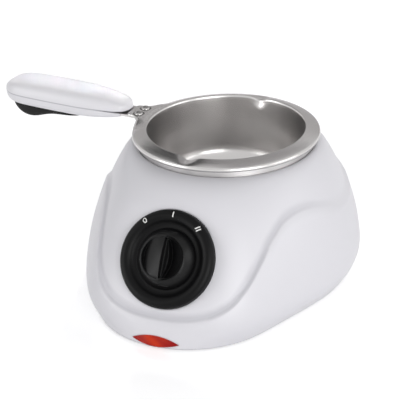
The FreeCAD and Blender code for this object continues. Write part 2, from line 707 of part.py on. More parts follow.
def tang_rivets():
    top = MOUTH_Z
    low = MOUTH_Z - SHEET - TANG_T
    r = RIVET_HEAD_R
    rivet = turned([(0, low - 0.9), (r - 0.6, low - 0.9), (r - 0.3, low), (RIVET_R, low), (RIVET_R, top), (r, top),
                    ((r * 0.71, top + RIVET_HEAD_H * 0.72), (0.3, top + RIVET_HEAD_H)),
                    (0, top + RIVET_HEAD_H)])
    return [placed(rivet, Placement(Vector(RIVET_X, y, 0), Rotation())) for y in (-RIVET_Y, RIVET_Y)]


# Handle, in its own frame: X out along the handle, Z = 0 at the seam

def d_section(x, half, depth, fullness):
    """Half oval, flat at Z = 0; depth is negative for a piece below the seam."""
    plan = [(1, 0), (1, fullness), (fullness, 1), (0, 1), (-fullness, 1), (-1, fullness), (-1, 0)]
    poles = [Vector(x, u * half, v * depth) for u, v in plan]
    curve = Part.BSplineCurve()
    curve.buildFromPolesMultsKnots(poles, [4, 1, 1, 1, 4], [0, 1, 2, 3, 4], False, 3)
    return Part.Wire([curve.toShape(), Part.LineSegment(poles[-1], poles[0]).toShape()])


def rounding(x):
    """Share of the full width left where the ends of the handle round off."""
    root = max(0.0, 1 - x / ROOT_ROUND)
    tip = max(0.0, 1 - (HANDLE_L - x) / TIP_ROUND)
    return math.sqrt(1 - (0.985 * max(root, tip)) ** 2)


def handle_form(column, fullness, inset, floor):
    """One half of the handle; column picks the height above or the depth below the seam."""
    sign = 1 if column == 2 else -1
    narrow = inset if column == 2 else inset + SEAM_STEP
    ends = [ROOT_ROUND * k for k in (0, 0.08, 0.3, 0.6)]
    ends += [HANDLE_L - TIP_ROUND * k for k in (1, 0.6, 0.35, 0.17, 0.06, 0)]
    middle = [row[0] for row in HANDLE if ROOT_ROUND < row[0] < HANDLE_L - TIP_ROUND]
    stations = sorted(ends + middle)
    if inset:
        stations = [x for x in stations if inset < x < HANDLE_L - inset]
    wires = []
    for x in stations:
        shrink = rounding(x)
        half = part_way(HANDLE, x, 1) * shrink - narrow
        depth = part_way(HANDLE, x, column) * shrink - inset
        wires.append(d_section(x, half, sign * min(depth, floor), fullness))
    return Part.makeLoft(wires, True, False)


def handle_upper():
    outer = handle_form(2, 0.62, 0, 99)
    posts = [disc(HANDLE_BOSS_R, 0, 20, x, 0) for x in HANDLE_SCREWS]
    foot = SNUG / 2 - TANG_BELOW_SEAM
    feet_of_posts = [disc(HANDLE_BOSS_R, foot, 1, x, 0) for x in HANDLE_SCREWS]
    shell = outer.cut(handle_form(2, 0.62, HANDLE_WALL, 99)).fuse(outer.common(posts)).fuse(feet_of_posts)
    return shell.cut([disc(HANDLE_SCREW_R + SNUG / 2, -9, HANDLE_SCREW_TOP + 0.5, x, 0)
                      for x in HANDLE_SCREWS])


def handle_lower():
    shell = handle_form(3, 0.85, 0, 99).cut(handle_form(3, 0.85, HANDLE_WALL, HANDLE_FLOOR))
    under_tang = -TANG_BELOW_SEAM - TANG_T - SNUG / 2
    shell = shell.fuse([disc(HANDLE_BOSS_R, -HANDLE_FLOOR - 1, under_tang, x, 0)
                        for x in HANDLE_SCREWS])
    slot = slab(-10, TANG_L + 1, -TANG_HALF - CLEAR, TANG_HALF + CLEAR, under_tang, 5)
    slit = profile([(-5, 1), (-5, -SLIT_H), (0, -SLIT_H), (SLIT_L, 0), (SLIT_L, 1)],
                   lambda x, z: Vector(x, -20, z)).extrude(Vector(0, 40, 0))
    cuts = [slot, slit, handle_grip(SNUG)]
    cuts += [disc(HANDLE_SCREW_R + SNUG, -20, 5, x, 0) for x in HANDLE_SCREWS]
    cuts += [disc(HANDLE_HEAD_R + SNUG, -20, HANDLE_HEAD_Z, x, 0) for x in HANDLE_SCREWS]
    return shell.cut(cuts)


def handle_grip(grow=0):
    """Soft grip, or with grow the pocket that it sits in."""
    ends = [(GRIP[0][0] - grow, *GRIP[0][1:])] + GRIP[1:-1] + [(GRIP[-1][0] + grow, *GRIP[-1][1:])]
    solid = Part.makeLoft([d_section(x, half + grow, -depth - 2 * grow, 0.75) for x, half, depth in ends],
                          True, False)
    return placed(solid, Placement(Vector(0, 0, grow - GRIP_SEAT), Rotation()))


def handle_screws():
    screw = pan_screw(HANDLE_SCREW_R, HANDLE_HEAD_R, HANDLE_HEAD_H, HANDLE_SCREW_TOP - HANDLE_HEAD_Z)
    return [placed(screw, Placement(Vector(x, 0, HANDLE_HEAD_Z), Rotation())) for x in HANDLE_SCREWS]


def save(node, shapes, frame=None):
    solids = [placed(s, frame) if frame else s for s in (shapes if isinstance(shapes, list) else [shapes])]
    shape = solids[0] if len(solids) == 1 else Part.makeCompound(solids)
    good = all(s.isValid() for s in solids)
    print(node, len(shape.Solids), "solids", round(shape.Volume, 1), "mm3", "" if good else "NOT VALID")
    shape.exportStep("parts/" + node + ".step")


outer_form = stepped_form(0, 0)
inner_form = stepped_form(WALL, WALL)
save("housing", housing(outer_form, inner_form))
save("bottom_cover", bottom_cover())
save("feet", feet())
save("base_screws", base_screws())
save("well_liner", well_liner())
save("liner_screws", liner_screws())
save("heater_plate", heater_plate())
save("heating_element", heating_element())
save("element_clamp", element_clamp())
save("centre_screw", centre_screw())
save("thermal_fuse", thermal_fuse())
save("fuse_strap", fuse_strap())
save("dial_bezel", dial_bezel(), DIAL_FRAME)
save("rotary_switch", rotary_switch(), DIAL_FRAME)
save("switch_nut", switch_nut(), DIAL_FRAME)
save("switch_spindle", switch_spindle(), DIAL_FRAME)
save("control_knob", control_knob(), DIAL_FRAME)
save("lamp_lens", lamp_lens())
save("neon_lamp", neon_lamp())
save("lamp_holder", lamp_holder())
save("terminal_block", terminal_block())
save("cord_gland", cord_gland(), GLAND_FRAME)
save("pot", pot(), POT_FRAME)
save("handle_tang", handle_tang(), POT_FRAME)
save("tang_rivets", tang_rivets(), POT_FRAME)
save("handle_upper", handle_upper(), POT_FRAME.multiply(HANDLE_FRAME))
save("handle_lower", handle_lower(), POT_FRAME.multiply(HANDLE_FRAME))
save("handle_grip", handle_grip(), POT_FRAME.multiply(HANDLE_FRAME))
save("handle_screws", handle_screws(), POT_FRAME.multiply(HANDLE_FRAME))
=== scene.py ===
# %% [markdown]
# # A small electric fondue pot
# This lesson dresses a finished CAD model of a small electric fondue pot: a white moulded stand
# with a leaning black dial, a red power lamp, a heated steel well, and a lift-out steel pot with
# one handle. The CAD pieces stay where they are. Blender adds the finishes, the printed marks,
# the pressed lips of the pot, the small fasteners and the light.

# %% Load the model
import json
import math

import bmesh
import bpy
from mathutils import Matrix, Vector


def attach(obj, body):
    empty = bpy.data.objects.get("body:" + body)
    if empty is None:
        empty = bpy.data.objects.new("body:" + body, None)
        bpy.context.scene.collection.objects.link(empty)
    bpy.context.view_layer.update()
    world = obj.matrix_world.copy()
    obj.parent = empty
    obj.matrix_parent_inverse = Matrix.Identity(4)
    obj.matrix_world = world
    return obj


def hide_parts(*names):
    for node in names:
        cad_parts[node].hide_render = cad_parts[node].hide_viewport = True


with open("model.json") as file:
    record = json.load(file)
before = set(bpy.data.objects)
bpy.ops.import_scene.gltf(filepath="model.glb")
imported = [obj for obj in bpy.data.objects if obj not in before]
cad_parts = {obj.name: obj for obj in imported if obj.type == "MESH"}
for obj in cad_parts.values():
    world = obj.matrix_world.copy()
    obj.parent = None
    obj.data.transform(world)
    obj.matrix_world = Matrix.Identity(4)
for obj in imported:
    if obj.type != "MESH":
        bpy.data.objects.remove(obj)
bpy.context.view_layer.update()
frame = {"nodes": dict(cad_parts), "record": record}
nodes = frame["nodes"]

# %% [markdown]
# ## The camera
# The photograph looks slightly down on the stand, from a little to the right of its front. The
# viewing angle was worked out from the round rim, the round dial and the base outline, which it
# shows as ellipses. A long lens far away keeps the perspective gentle.

# %% Place the camera
MM = 0.001
TURN = math.radians(22.5)          # to the right of the front
TILT = math.radians(25.33)         # above the table
AWAY = 1100 * MM
LENS_MM = 153.34
ROLL = math.radians(-1.93)
AIM_OFFSET = (-17.99 * MM, -14.21 * MM)


def camera_place():
    """Returns the camera's place and turn, looking at a point beside the pot's axis."""
    middle = Vector((0, 0, 60 * MM))
    back = Vector((math.sin(TURN) * math.cos(TILT), -math.cos(TURN) * math.cos(TILT), math.sin(TILT)))
    right = Vector((math.cos(TURN), math.sin(TURN), 0))
    up = back.cross(right)
    eye = middle + back * AWAY
    aim = middle + right * AIM_OFFSET[0] + up * AIM_OFFSET[1]
    look = (aim - eye).normalized()
    across = look.cross(Vector((0, 0, 1))).normalized()
    above = across.cross(look)
    r = across * math.cos(ROLL) + above * math.sin(ROLL)
    u = above * math.cos(ROLL) - across * math.sin(ROLL)
    turn = Matrix((r, u, -look)).transposed().to_4x4()
    return Matrix.Translation(eye) @ turn


def new_object(name, data):
    """An object with this data, linked to the scene."""
    thing = bpy.data.objects.new(name, data)
    bpy.context.collection.objects.link(thing)
    return thing


camera = new_object("camera", bpy.data.cameras.new("camera"))
camera.data.lens = LENS_MM
camera.data.sensor_width = 36
camera.data.clip_start = 0.05
camera.data.clip_end = 20
camera.matrix_world = camera_place()
bpy.context.scene.camera = camera
bpy.context.scene.view_settings.view_transform = "Standard"
print("camera at", [round(v, 3) for v in camera.matrix_world.translation])

# %% [markdown]
# ## Colours and nodes
# Colours are written the way a paint chart or a screen shows them, as sRGB hex values. Blender
# works with linear light, so one function turns them. A second one adds a node with its settings,
# values and links, which keeps every material below to a few lines.

# %% Colour and node helpers
def linear(hex_colour):
    """sRGB hex to linear RGBA."""
    out = []
    for i in (0, 2, 4):
        c = int(hex_colour[i:i + 2], 16) / 255
        out.append(c / 12.92 if c <= 0.04045 else ((c + 0.055) / 1.055) ** 2.4)
    return (*out, 1.0)


def plug(tree, node, inputs):
    """Sets or links inputs, by name or number. A node stands for its first output."""
    for key, source in inputs.items():
        if isinstance(source, bpy.types.Node):
            source = source.outputs[0]
        if isinstance(source, bpy.types.NodeSocket):
            tree.links.new(source, node.inputs[key])
        else:
            node.inputs[key].default_value = source


def add(tree, kind, inputs=None, **settings):
    """Adds a node with its inputs and settings. A short kind is a shader node."""
    node = tree.nodes.new(kind if "Node" in kind else "ShaderNode" + kind)
    for name, value in settings.items():
        setattr(node, name, value)
    plug(tree, node, inputs or {})
    return node


def new_material(name, hex_colour, **sockets):
    """A material whose shader has a base colour and plain values on its own sockets."""
    material = bpy.data.materials.new(name)
    material.use_nodes = True
    tree = material.node_tree
    shader = tree.nodes["Principled BSDF"]
    shader.inputs["Base Color"].default_value = linear(hex_colour)
    for socket, value in sockets.items():
        shader.inputs[socket.replace("_", " ")].default_value = value
    return material, tree, shader


print("white is", linear("FFFFFF"), "mid grey is", [round(v, 3) for v in linear("808080")])

# %% [markdown]
# ## The studio
# The stand is almost white and stands on white, so the light has to model it: a soft lamp on each
# side of the camera, weaker ones at the right and at the back, and a dim surround. A small narrow
# lamp picks out the top of the handle. The floor is a polished pale sheet, which keeps the stand's
# shadow and a faint mirror image of its base. Floor and surround look white because they shine
# for rays that look at them, which puts no extra light on the pot.

# %% Floor and world
def flat_sheet(name, corners):
    mesh = bpy.data.meshes.new(name)
    mesh.from_pydata(corners, [], [(0, 1, 2, 3)])
    sheet = new_object(name, mesh)
    return sheet


FLOOR_HALF = 6.0
FLOOR_SHINE = 0.6            # added for rays that look at the floor
SURROUND = 0.32              # strength of the surround as light; 1 where it is looked at
corners = ((-1, -1), (1, -1), (1, 1), (-1, 1))
floor = flat_sheet("floor", [(x * FLOOR_HALF, y * FLOOR_HALF, 0) for x, y in corners])
material, tree, shader = new_material("pale laminate sheet, polished", "D2D2D4", Roughness=0.12)


def looked_at(tree):
    """1 for rays from the camera, from gloss and through glass, 0 for the light itself."""
    path = add(tree, "LightPath")
    seen = add(tree, "Math", {0: path.outputs["Is Camera Ray"], 1: path.outputs["Is Glossy Ray"]},
               operation="MAXIMUM")
    return add(tree, "Math", {0: seen, 1: path.outputs["Is Transmission Ray"]}, operation="MAXIMUM")


lift = add(tree, "Math", {0: looked_at(tree), 1: FLOOR_SHINE}, operation="MULTIPLY")
plug(tree, shader, {"Emission Strength": lift})
floor.data.materials.append(material)

world = bpy.data.worlds.new("studio")
bpy.context.scene.world = world
world.use_nodes = True
tree = world.node_tree
strength = add(tree, "MapRange", {"To Min": SURROUND, "To Max": 1.0, "Value": looked_at(tree)})
background = tree.nodes["Background"]
background.inputs["Color"].default_value = (1, 1, 1, 1)
plug(tree, background, {"Strength": strength})
print("floor", floor.dimensions[:])

# %% Lamps
# Name, place in metres, watts, and then size, target and spread in degrees
LAMPS = [("key", (1.177, -1.177, 0.59), 13.4), ("side", (1.638, 0.143, 0.65), 5.6),
         ("fill", (-1.195, -1.195, 0.50), 8.6), ("back", (-0.35, 1.45, 1.00), 9.0),
         ("handle light", (-0.25, 1.20, 0.75), 0.07, 0.15, (-0.135, 0.0, 0.10), 8)]
NOT_MIRRORED = ("back", "handle light")


def soft_lamp(name, place, watts, size=1.0, target=(0, 0, 0.05), spread=180):
    data = bpy.data.lights.new(name, "AREA")
    data.shape = "SQUARE"
    data.size = size
    data.energy = watts
    data.spread = math.radians(spread)
    lamp = new_object(name, data)
    lamp.location = place
    aim = Vector(target) - Vector(place)
    lamp.rotation_euler = aim.to_track_quat("-Z", "Y").to_euler()
    lamp.visible_glossy = name not in NOT_MIRRORED


for row in LAMPS:
    soft_lamp(*row)
print("lamps:", [row[0] for row in LAMPS])

# %% [markdown]
# ## Cards for the steel
# Polished steel has no look of its own: it shows what stands around it. The flange slopes, so it
# mirrors a patch of the room behind and above the pot. A grey card hangs there with a black one to
# its left, and a second grey card stands low behind the pot. They give the satin grey and the dark
# sweep at the left of the flange. Only glossy rays see them, so they cast no shade.

# %% Cards
CARD_AWAY = 1.2
CARD_CENTRE_Z = 0.09         # height of the flange, which the cards surround
# Lowest and highest elevation, then the turn to the left of straight behind, in degrees
CARDS = [("grey card", 33, 78, -38, 9, "AEACAD"), ("black card", 31, 62, 9, 38, "000000"),
         ("low grey card", -4, 24, -42, 38, "C4C2C2")]


def card_corner(elevation, turn):
    up = math.radians(elevation)
    around = TURN + math.radians(180 + turn)
    flat = CARD_AWAY * math.cos(up)
    return (flat * math.sin(around), -flat * math.cos(around), CARD_CENTRE_Z + CARD_AWAY * math.sin(up))


for name, low, high, right, left, tone in CARDS:
    card = flat_sheet(name, [card_corner(low, right), card_corner(low, left), card_corner(high, left),
                             card_corner(high, right)])
    material, tree, shader = new_material(name, "000000", Roughness=1.0, Emission_Strength=1.0)
    shader.inputs["Emission Color"].default_value = linear(tone)
    card.data.materials.append(material)
    for rays in ("camera", "diffuse", "shadow", "transmission"):
        setattr(card, "visible_" + rays, False)
print("cards:", [row[0] for row in CARDS])

# %% [markdown]
# ## White moulded ABS
# The stand and the handle shells are injection-moulded white ABS. The eye gets a bright, slightly
# cool white with soft wide highlights and a faint orange peel from the polish of the mould. The
# Bevel node rounds the shading of every edge by a real radius, so that it catches the light.

# %% Moulded plastic
def moulded(name, hex_colour, roughness, peel_mm, peel_depth, edge_mm, **sockets):
    """Moulded plastic: peel of a given grain size and depth, edges rounded by edge_mm."""
    material, tree, shader = new_material(name, hex_colour, Roughness=roughness, **sockets)
    place = add(tree, "TexCoord").outputs["Object"]
    grain = add(tree, "TexNoise", {"Scale": 1000 / peel_mm, "Detail": 2.0, "Vector": place})
    edge = add(tree, "Bevel", {"Radius": edge_mm * MM}, samples=6)
    bump = add(tree, "Bump", {"Strength": 0.35, "Distance": peel_depth * MM, "Height": grain, "Normal": edge})
    plug(tree, shader, {"Normal": bump})
    return material


def finish(material, *names):
    """Gives CAD pieces their finish."""
    for name in names:
        mesh = nodes[name].data
        mesh.materials.clear()
        mesh.materials.append(material)


finish(moulded("white ABS, eroded underside", "DCDBDF", 0.5, 0.5, 0.04, 0.4), "bottom_cover", "cord_gland")

# %% [markdown]
# ## Smooth skins for the curved pieces
# A CAD file arrives as loose flat triangles, whose edges show as faint lines. So the visible
# curved pieces get a skin: a copy of the CAD mesh with its points merged, shaded smooth except
# where two faces meet at a real edge. The shape is exactly the CAD shape.

# %% Smooth skins
BODY_OF = {node: body for body, rows in frame["record"]["behaviour"]["bodies"].items() for node in rows}


def new_piece(name, mesh, body, material):
    """Links a finished bmesh as a piece that rides on a body."""
    data = bpy.data.meshes.new(name)
    mesh.to_mesh(data)
    mesh.free()
    data.materials.append(material)
    piece = new_object(name, data)
    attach(piece, body)
    return piece


def soften(mesh, sharp):
    """Smooth shading, except over edges sharper than an angle."""
    for face in mesh.faces:
        face.smooth = True
    for edge in mesh.edges:
        edge.smooth = edge.calc_face_angle(0.0) < math.radians(sharp)


def skin(node, name, material, sharp=32):
    """Merged copy of a CAD piece, smooth up to the angle sharp, that stands for the node."""
    mesh = bmesh.new()
    mesh.from_mesh(nodes[node].data)
    bmesh.ops.remove_doubles(mesh, verts=mesh.verts, dist=2e-6)
    soften(mesh, sharp)
    piece = new_piece(name, mesh, BODY_OF[node], material)
    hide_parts(node)
    print(name, len(piece.data.vertices), "points")


# %% [markdown]
# ## The soft valley beside the step
# Where the upper body meets the proud skirt, a soft valley that never catches the light follows
# the S-curved step line round the stand. It is drawn in the shader: a painted shade in the base
# colour and a shallow dip in the bump. A curve gives the line's height for each turn round the
# stand. The distance from it, corrected for how steeply the line runs, drives both.

# %% The step line in the shader
# Degrees from the front, height in millimetres
STEP_LINE = [(0, 18.0), (11, 19.4), (20, 24.8), (27, 35.0), (34, 48.5), (41, 59.5), (50, 66.0), (61, 66.5),
             (74, 62.0), (92, 55.0), (112, 58.0), (140, 64.0), (180, 66.0)]
LINE_SCALE = 100.0           # the curve's 0 to 1 stands for 0 to 100 mm
AHEAD = 0.01                 # a hundredth of a half turn further on, to measure the slope
BODY_WHITE, SHADE_TONE = "E5E4E9", "D3D2D8"


def line_height(tree, turn):
    """Height of the step line, in metres, for a turn of 0 in front to 1 at the back."""
    curve = add(tree, "FloatCurve", {"Value": turn})
    points = curve.mapping.curves[0].points
    for degrees, height in STEP_LINE[1:-1]:
        points.new(degrees / 180, height / LINE_SCALE)
    points[0].location = (0.0, STEP_LINE[0][1] / LINE_SCALE)
    points[len(points) - 1].location = (1.0, STEP_LINE[-1][1] / LINE_SCALE)
    curve.mapping.update()
    return add(tree, "Math", {0: curve, 1: LINE_SCALE * MM}, operation="MULTIPLY")


print("step line:", STEP_LINE[0][1], "mm high in front,", STEP_LINE[-1][1], "mm at the back")


# %% Distance above the line
def above_line(tree):
    """Distance above the step line, square to it, and the turn round the stand."""
    place = add(tree, "TexCoord").outputs["Object"]
    axes = add(tree, "SeparateXYZ", {0: place})
    front = add(tree, "Math", {0: axes.outputs["Y"], 1: -1.0}, operation="MULTIPLY")
    turn = add(tree, "Math", {0: axes.outputs["X"], 1: front}, operation="ARCTAN2")
    turn = add(tree, "Math", {0: turn}, operation="ABSOLUTE")
    turn = add(tree, "Math", {0: turn, 1: math.pi}, operation="DIVIDE")
    flat = add(tree, "CombineXYZ", {"X": axes.outputs["X"], "Y": axes.outputs["Y"]})
    out = add(tree, "VectorMath", {0: flat}, operation="LENGTH")
    here = line_height(tree, turn)
    ahead = add(tree, "Math", {0: turn, 1: AHEAD}, operation="ADD")
    rise = add(tree, "Math", {0: line_height(tree, ahead), 1: here}, operation="SUBTRACT")
    step = add(tree, "Math", {0: out.outputs["Value"], 1: AHEAD * math.pi}, operation="MULTIPLY")
    slope = add(tree, "Math", {0: rise, 1: step}, operation="DIVIDE")
    square = add(tree, "Math", {0: slope, 1: slope}, operation="MULTIPLY")
    longer = add(tree, "Math", {0: square, 1: 1.0}, operation="ADD")
    root = add(tree, "Math", {0: longer}, operation="SQRT")
    above = add(tree, "Math", {0: axes.outputs["Z"], 1: here}, operation="SUBTRACT")
    away = add(tree, "Math", {0: above, 1: root}, operation="DIVIDE")
    return away, turn


# %% The valley's share
VALLEY_START = (-1.5 * MM, 0.3 * MM)     # heights above the line between which the valley begins
VALLEY_END = (0.8 * MM, 5.0 * MM)        # and between which it runs out
VALLEY_FADE = (35 / 180, 88 / 180)       # turns from the front between which it fades
VALLEY_DEPTH = 0.45


def valley_shade_and_dip(tree):
    """Share of painted shade and dip: 1 in the valley above the step line, 0 away from it."""
    away, turn = above_line(tree)
    start = add(tree, "MapRange", {"Value": away, "From Min": VALLEY_START[0], "From Max": VALLEY_START[1]},
                interpolation_type="SMOOTHSTEP")
    # A range given from high to low falls from 1 to 0
    end = add(tree, "MapRange", {"Value": away, "From Min": VALLEY_END[1], "From Max": VALLEY_END[0]},
              interpolation_type="SMOOTHSTEP")
    both = add(tree, "Math", {0: start, 1: end}, operation="MULTIPLY")
    sides = add(tree, "MapRange", {"Value": turn, "From Min": VALLEY_FADE[1], "From Max": VALLEY_FADE[0]},
                interpolation_type="SMOOTHSTEP")
    return add(tree, "Math", {0: both, 1: sides}, operation="MULTIPLY")


# %% The stand's skin
body_white = moulded("white ABS, moulded, polished", BODY_WHITE, 0.38, 1.6, 0.02, 1.6)
tree = body_white.node_tree
shader = tree.nodes["Principled BSDF"]
deep = valley_shade_and_dip(tree)
# Painted shade: the base colour darkens towards SHADE_TONE in the valley along the step.
shade = add(tree, "Mix", {"A": linear(BODY_WHITE), "B": linear(SHADE_TONE), "Factor": deep}, data_type="RGBA")
plug(tree, shader, {"Base Color": shade.outputs["Result"]})
peel = shader.inputs["Normal"].links[0].from_socket
dip = add(tree, "Bump", {"Strength": 1.0, "Distance": VALLEY_DEPTH * MM, "Height": deep, "Normal": peel},
          invert=True)
plug(tree, shader, {"Normal": dip})
skin("housing", "stand_shell", body_white)

# %% [markdown]
# The two handle shells meet in a seam, a narrow gap that reads as a fine grey line. It lies in one
# plane, which rises a little towards the tip, so the distance from that plane draws it.

# %% The handle's shells
SEAM_START = 68.7            # from the pot's axis to the handle's root
SEAM_Z = 96.95               # height of the seam there
HANDLE_RISE = math.radians(1.45)
HANDLE_TURN = math.radians(176)
SEAM_HALF = 0.28             # real gaps are half as wide, too fine for the picture
SEAM_FADE = 2.2              # the line has faded at this many half widths
HANDLE_WHITE, SEAM_TONE = "E9E8EC", "C6C5CB"

handle_white = moulded("white ABS, handle shells", HANDLE_WHITE, 0.34, 1.6, 0.02, 0.5)
tree = handle_white.node_tree
shader = tree.nodes["Principled BSDF"]
place = add(tree, "TexCoord").outputs["Object"]
tilt = math.sin(HANDLE_RISE)
across_seam = (-tilt * math.cos(HANDLE_TURN), -tilt * math.sin(HANDLE_TURN), math.cos(HANDLE_RISE))
level = add(tree, "VectorMath", {0: place, 1: across_seam}, operation="DOT_PRODUCT")
seam_level = SEAM_Z * math.cos(HANDLE_RISE) - SEAM_START * tilt
off = add(tree, "Math", {0: level.outputs["Value"], 1: seam_level * MM}, operation="SUBTRACT")
off = add(tree, "Math", {0: off}, operation="ABSOLUTE")
gap = add(tree, "MapRange", {"Value": off, "From Min": SEAM_FADE * SEAM_HALF * MM, "From Max": SEAM_HALF * MM},
          interpolation_type="SMOOTHSTEP")
shade = add(tree, "Mix", {"A": linear(HANDLE_WHITE), "B": linear(SEAM_TONE), "Factor": gap}, data_type="RGBA")
plug(tree, shader, {"Base Color": shade.outputs["Result"]})
skin("handle_upper", "handle_top_shell", handle_white)
skin("handle_lower", "handle_under_shell", handle_white)

# %% [markdown]
# ## Black plastics
# The dial and the knob are black ABS from a spark-eroded mould, which leaves a fine satin grain.
# The grip under the handle is softer and scatters nearly all light. The real grain of about a
# quarter of a millimetre is too fine for the picture, so it is drawn twice as coarse.

# %% Black plastics
dial_black = moulded("black ABS, spark-eroded satin", "0B0B0C", 0.40, 0.5, 0.02, 0.6, Specular_IOR_Level=0.12)
skin("dial_bezel", "dial_disc", dial_black)
grip_black = moulded("black thermoplastic rubber, soft", "121212", 0.7, 0.6, 0.03, 0.8, Specular_IOR_Level=0.25)
skin("handle_grip", "soft_grip", grip_black)
skin("feet", "rubber_feet", moulded("dark grey rubber, moulded", "252527", 0.75, 0.7, 0.04, 0.5))
finish(moulded("black polyamide, eroded", "1C1C1C", 0.5, 0.5, 0.03, 0.3), "rotary_switch")
finish(moulded("natural nylon", "DED9CA", 0.5, 0.8, 0.03, 0.3), "lamp_holder", "terminal_block",
       "switch_spindle")
print("black pieces done")

# %% [markdown]
# ## The finger knob
# Two fingers turn the knob by a blade across its middle. Left of the blade the knob swells up to
# the ridge in one soft curve, which catches the light. Right of it the blade drops steeply onto a
# narrow shelf, which covers the end of the spindle, and then into a scooped recess. Both lean
# towards the blade, so they mirror its black side and stay dark. Booleans could carve this from a
# solid. Here it is a mesh of rows across the blade, in the leaning frame of the dial. Its columns
# follow the ridge, the shelf's edge and the round rim, so that these lines are crisp.

# %% The dial's frame
DIAL_TURN = math.radians(90 - 32.6)
DIAL_MIDDLE = Vector((0, -95.6, 48.0))
FACE_X = Vector((1, 0, 0))
FACE_Y = Vector((0, math.cos(DIAL_TURN), math.sin(DIAL_TURN)))
FACE_Z = FACE_X.cross(FACE_Y)


def on_dial(x, y, z):
    """Point in metres, x across the dial, y up its slope and z out of its seat in millimetres."""
    return (DIAL_MIDDLE + FACE_X * x + FACE_Y * y + FACE_Z * z) * MM


def smooth(t):
    """Soft step from 0 to 1."""
    t = min(max(t, 0.0), 1.0)
    return t * t * (3 - 2 * t)


print("the dial leans back by", round(90 - math.degrees(DIAL_TURN), 1), "degrees")

# %% Rim and blade of the knob
KNOB_R = 18.8
KNOB_LOW = 3.9               # underside
HOLLOW_R = 13.0              # inside of the rim
CREST_R, CREST_TOP = 13.7, 11.2
RIM_PROFILE = [(HOLLOW_R, 9.6), (13.3, 10.75), (CREST_R, CREST_TOP), (14.0, 11.05), (14.4, 10.7), (15.2, 9.75),
               (16.2, 8.5), (17.2, 7.1), (18.2, 5.4), (KNOB_R, 4.4)]
BLADE_TOP, BLADE_FALL = 13.9, 4.4    # ridge in the middle, and how much lower it is at the edge
BLADE_END, BLADE_FADE = 15.4, 3.0    # where the ridge starts to sink into the rim, and how fast


def rim_height(r):
    """Height of the knob's rim and outer slope."""
    for (r0, z0), (r1, z1) in zip(RIM_PROFILE, RIM_PROFILE[1:]):
        if r <= r1:
            return z0 + (z1 - z0) * max(r - r0, 0) / (r1 - r0)
    return RIM_PROFILE[-1][1]


def ridge_height(y):
    """Height of the blade's ridge, which runs down into the rim at both ends."""
    end = smooth((abs(y) - BLADE_END) / BLADE_FADE)
    return (BLADE_TOP - BLADE_FALL * (y / KNOB_R) ** 2) * (1 - end) + rim_height(abs(y)) * end


def chord(r, y):
    return math.sqrt(max(r * r - y * y, 0.0))


print("ridge", ridge_height(0), "mm in the middle,", round(ridge_height(BLADE_END), 2), "mm at its ends")

# %% Left half of a row
SWELL_FOOT = 8.4             # where the left swelling starts
SWELL_END = 11.5             # its hollow has run out this far along the blade
SWELL_CURVE = 0.45           # 0 is a straight slope
FLANK_LOW, FLANK_MORE, FLANK_END = 1.0, 5.0, 18.4    # how far the blade spreads into the rim
INSET_LEFT, INSET_RIGHT, INSET_RIM = 0.3, 0.5, 0.15  # from the inside of the rim
SWELL_STEPS = (1.0, 0.96, 0.9, 0.8, 0.7, 0.6, 0.5, 0.4, 0.3, 0.2, 0.12, 0.05, 0.0)


def left_half(y, top):
    """Outer slope, rim and swelling, up to the ridge."""
    row = []
    hollow = max(0.0, 1 - (y / SWELL_END) ** 2)
    reach = FLANK_LOW + FLANK_MORE * max(0.0, 1 - (y / FLANK_END) ** 2)
    for r, _ in reversed(RIM_PROFILE):
        x = -chord(r, y)
        base = rim_height(math.hypot(x, y))
        if math.hypot(x, y) < CREST_R:
            base = CREST_TOP - (CREST_TOP - base) * hollow
        row.append((x, base + (top - base) * smooth(1 + x / reach)))
    wide = chord(HOLLOW_R - INSET_LEFT, y)
    full = CREST_TOP - 0.1
    foot = full - (full - SWELL_FOOT) * hollow if wide else top
    for t in SWELL_STEPS:
        up = 1 - t
        row.append((-wide * t, foot + (top - foot) * ((1 + SWELL_CURVE) * up - SWELL_CURVE * up ** 2)))
    return row


# %% Right half of a row
STEEP_SIDE = ((0.12, 0.97), (0.3, 0.5), (0.42, 0.08))    # distance from the ridge, share of its height
SHELF_IN, SHELF_OUT, SHELF_END = 0.5, 3.7, 12.6     # edges, and half its length
SHELF_LOW, SHELF_RISE, SHELF_DROP = 9.2, 0.22, 0.7  # the drop is the step's width
SCOOP_HIGH, SCOOP_SLOPE = 10.2, 0.6                 # height at the rim, fall towards the shelf
BLADE_FOOT = 0.8                                    # width over which the blade runs into the rim


def right_half(y, top):
    """Blade's steep side, shelf, recess, rim and outer slope."""
    row = []
    wide = chord(HOLLOW_R - INSET_RIGHT, y)
    shelf = min(SHELF_IN + (SHELF_OUT - SHELF_IN) * max(0.0, 1 - (y / SHELF_END) ** 2), wide * 0.6)
    low = SHELF_LOW if wide else top
    for x, share in STEEP_SIDE:
        row.append((min(x, shelf * 0.4), low + (top - low) * share))
    start = min(SHELF_IN, shelf * 0.5)
    for t in (0.15, 0.5, 0.97):
        x = start + (shelf - start) * t
        row.append((x, low + (SHELF_RISE * x if wide else 0.0)))
    foot = shelf + min(SHELF_DROP, (wide - shelf) * 0.3)
    deep = SCOOP_HIGH - SCOOP_SLOPE * (wide - foot) if wide else top
    for t in (0.0, 0.25, 0.5, 0.75, 1.0):
        row.append((foot + (wide - foot) * t, deep + (SCOOP_HIGH - deep) * t if wide else top))
    x = chord(HOLLOW_R - INSET_RIM, y)
    row.append((x, SCOOP_HIGH + 0.3 if x else top))
    for r, _ in RIM_PROFILE:
        x = chord(r, y)
        base = rim_height(math.hypot(x, y))
        row.append((x, base + (top - base) * (1 - min(x / BLADE_FOOT, 1.0))))
    return row


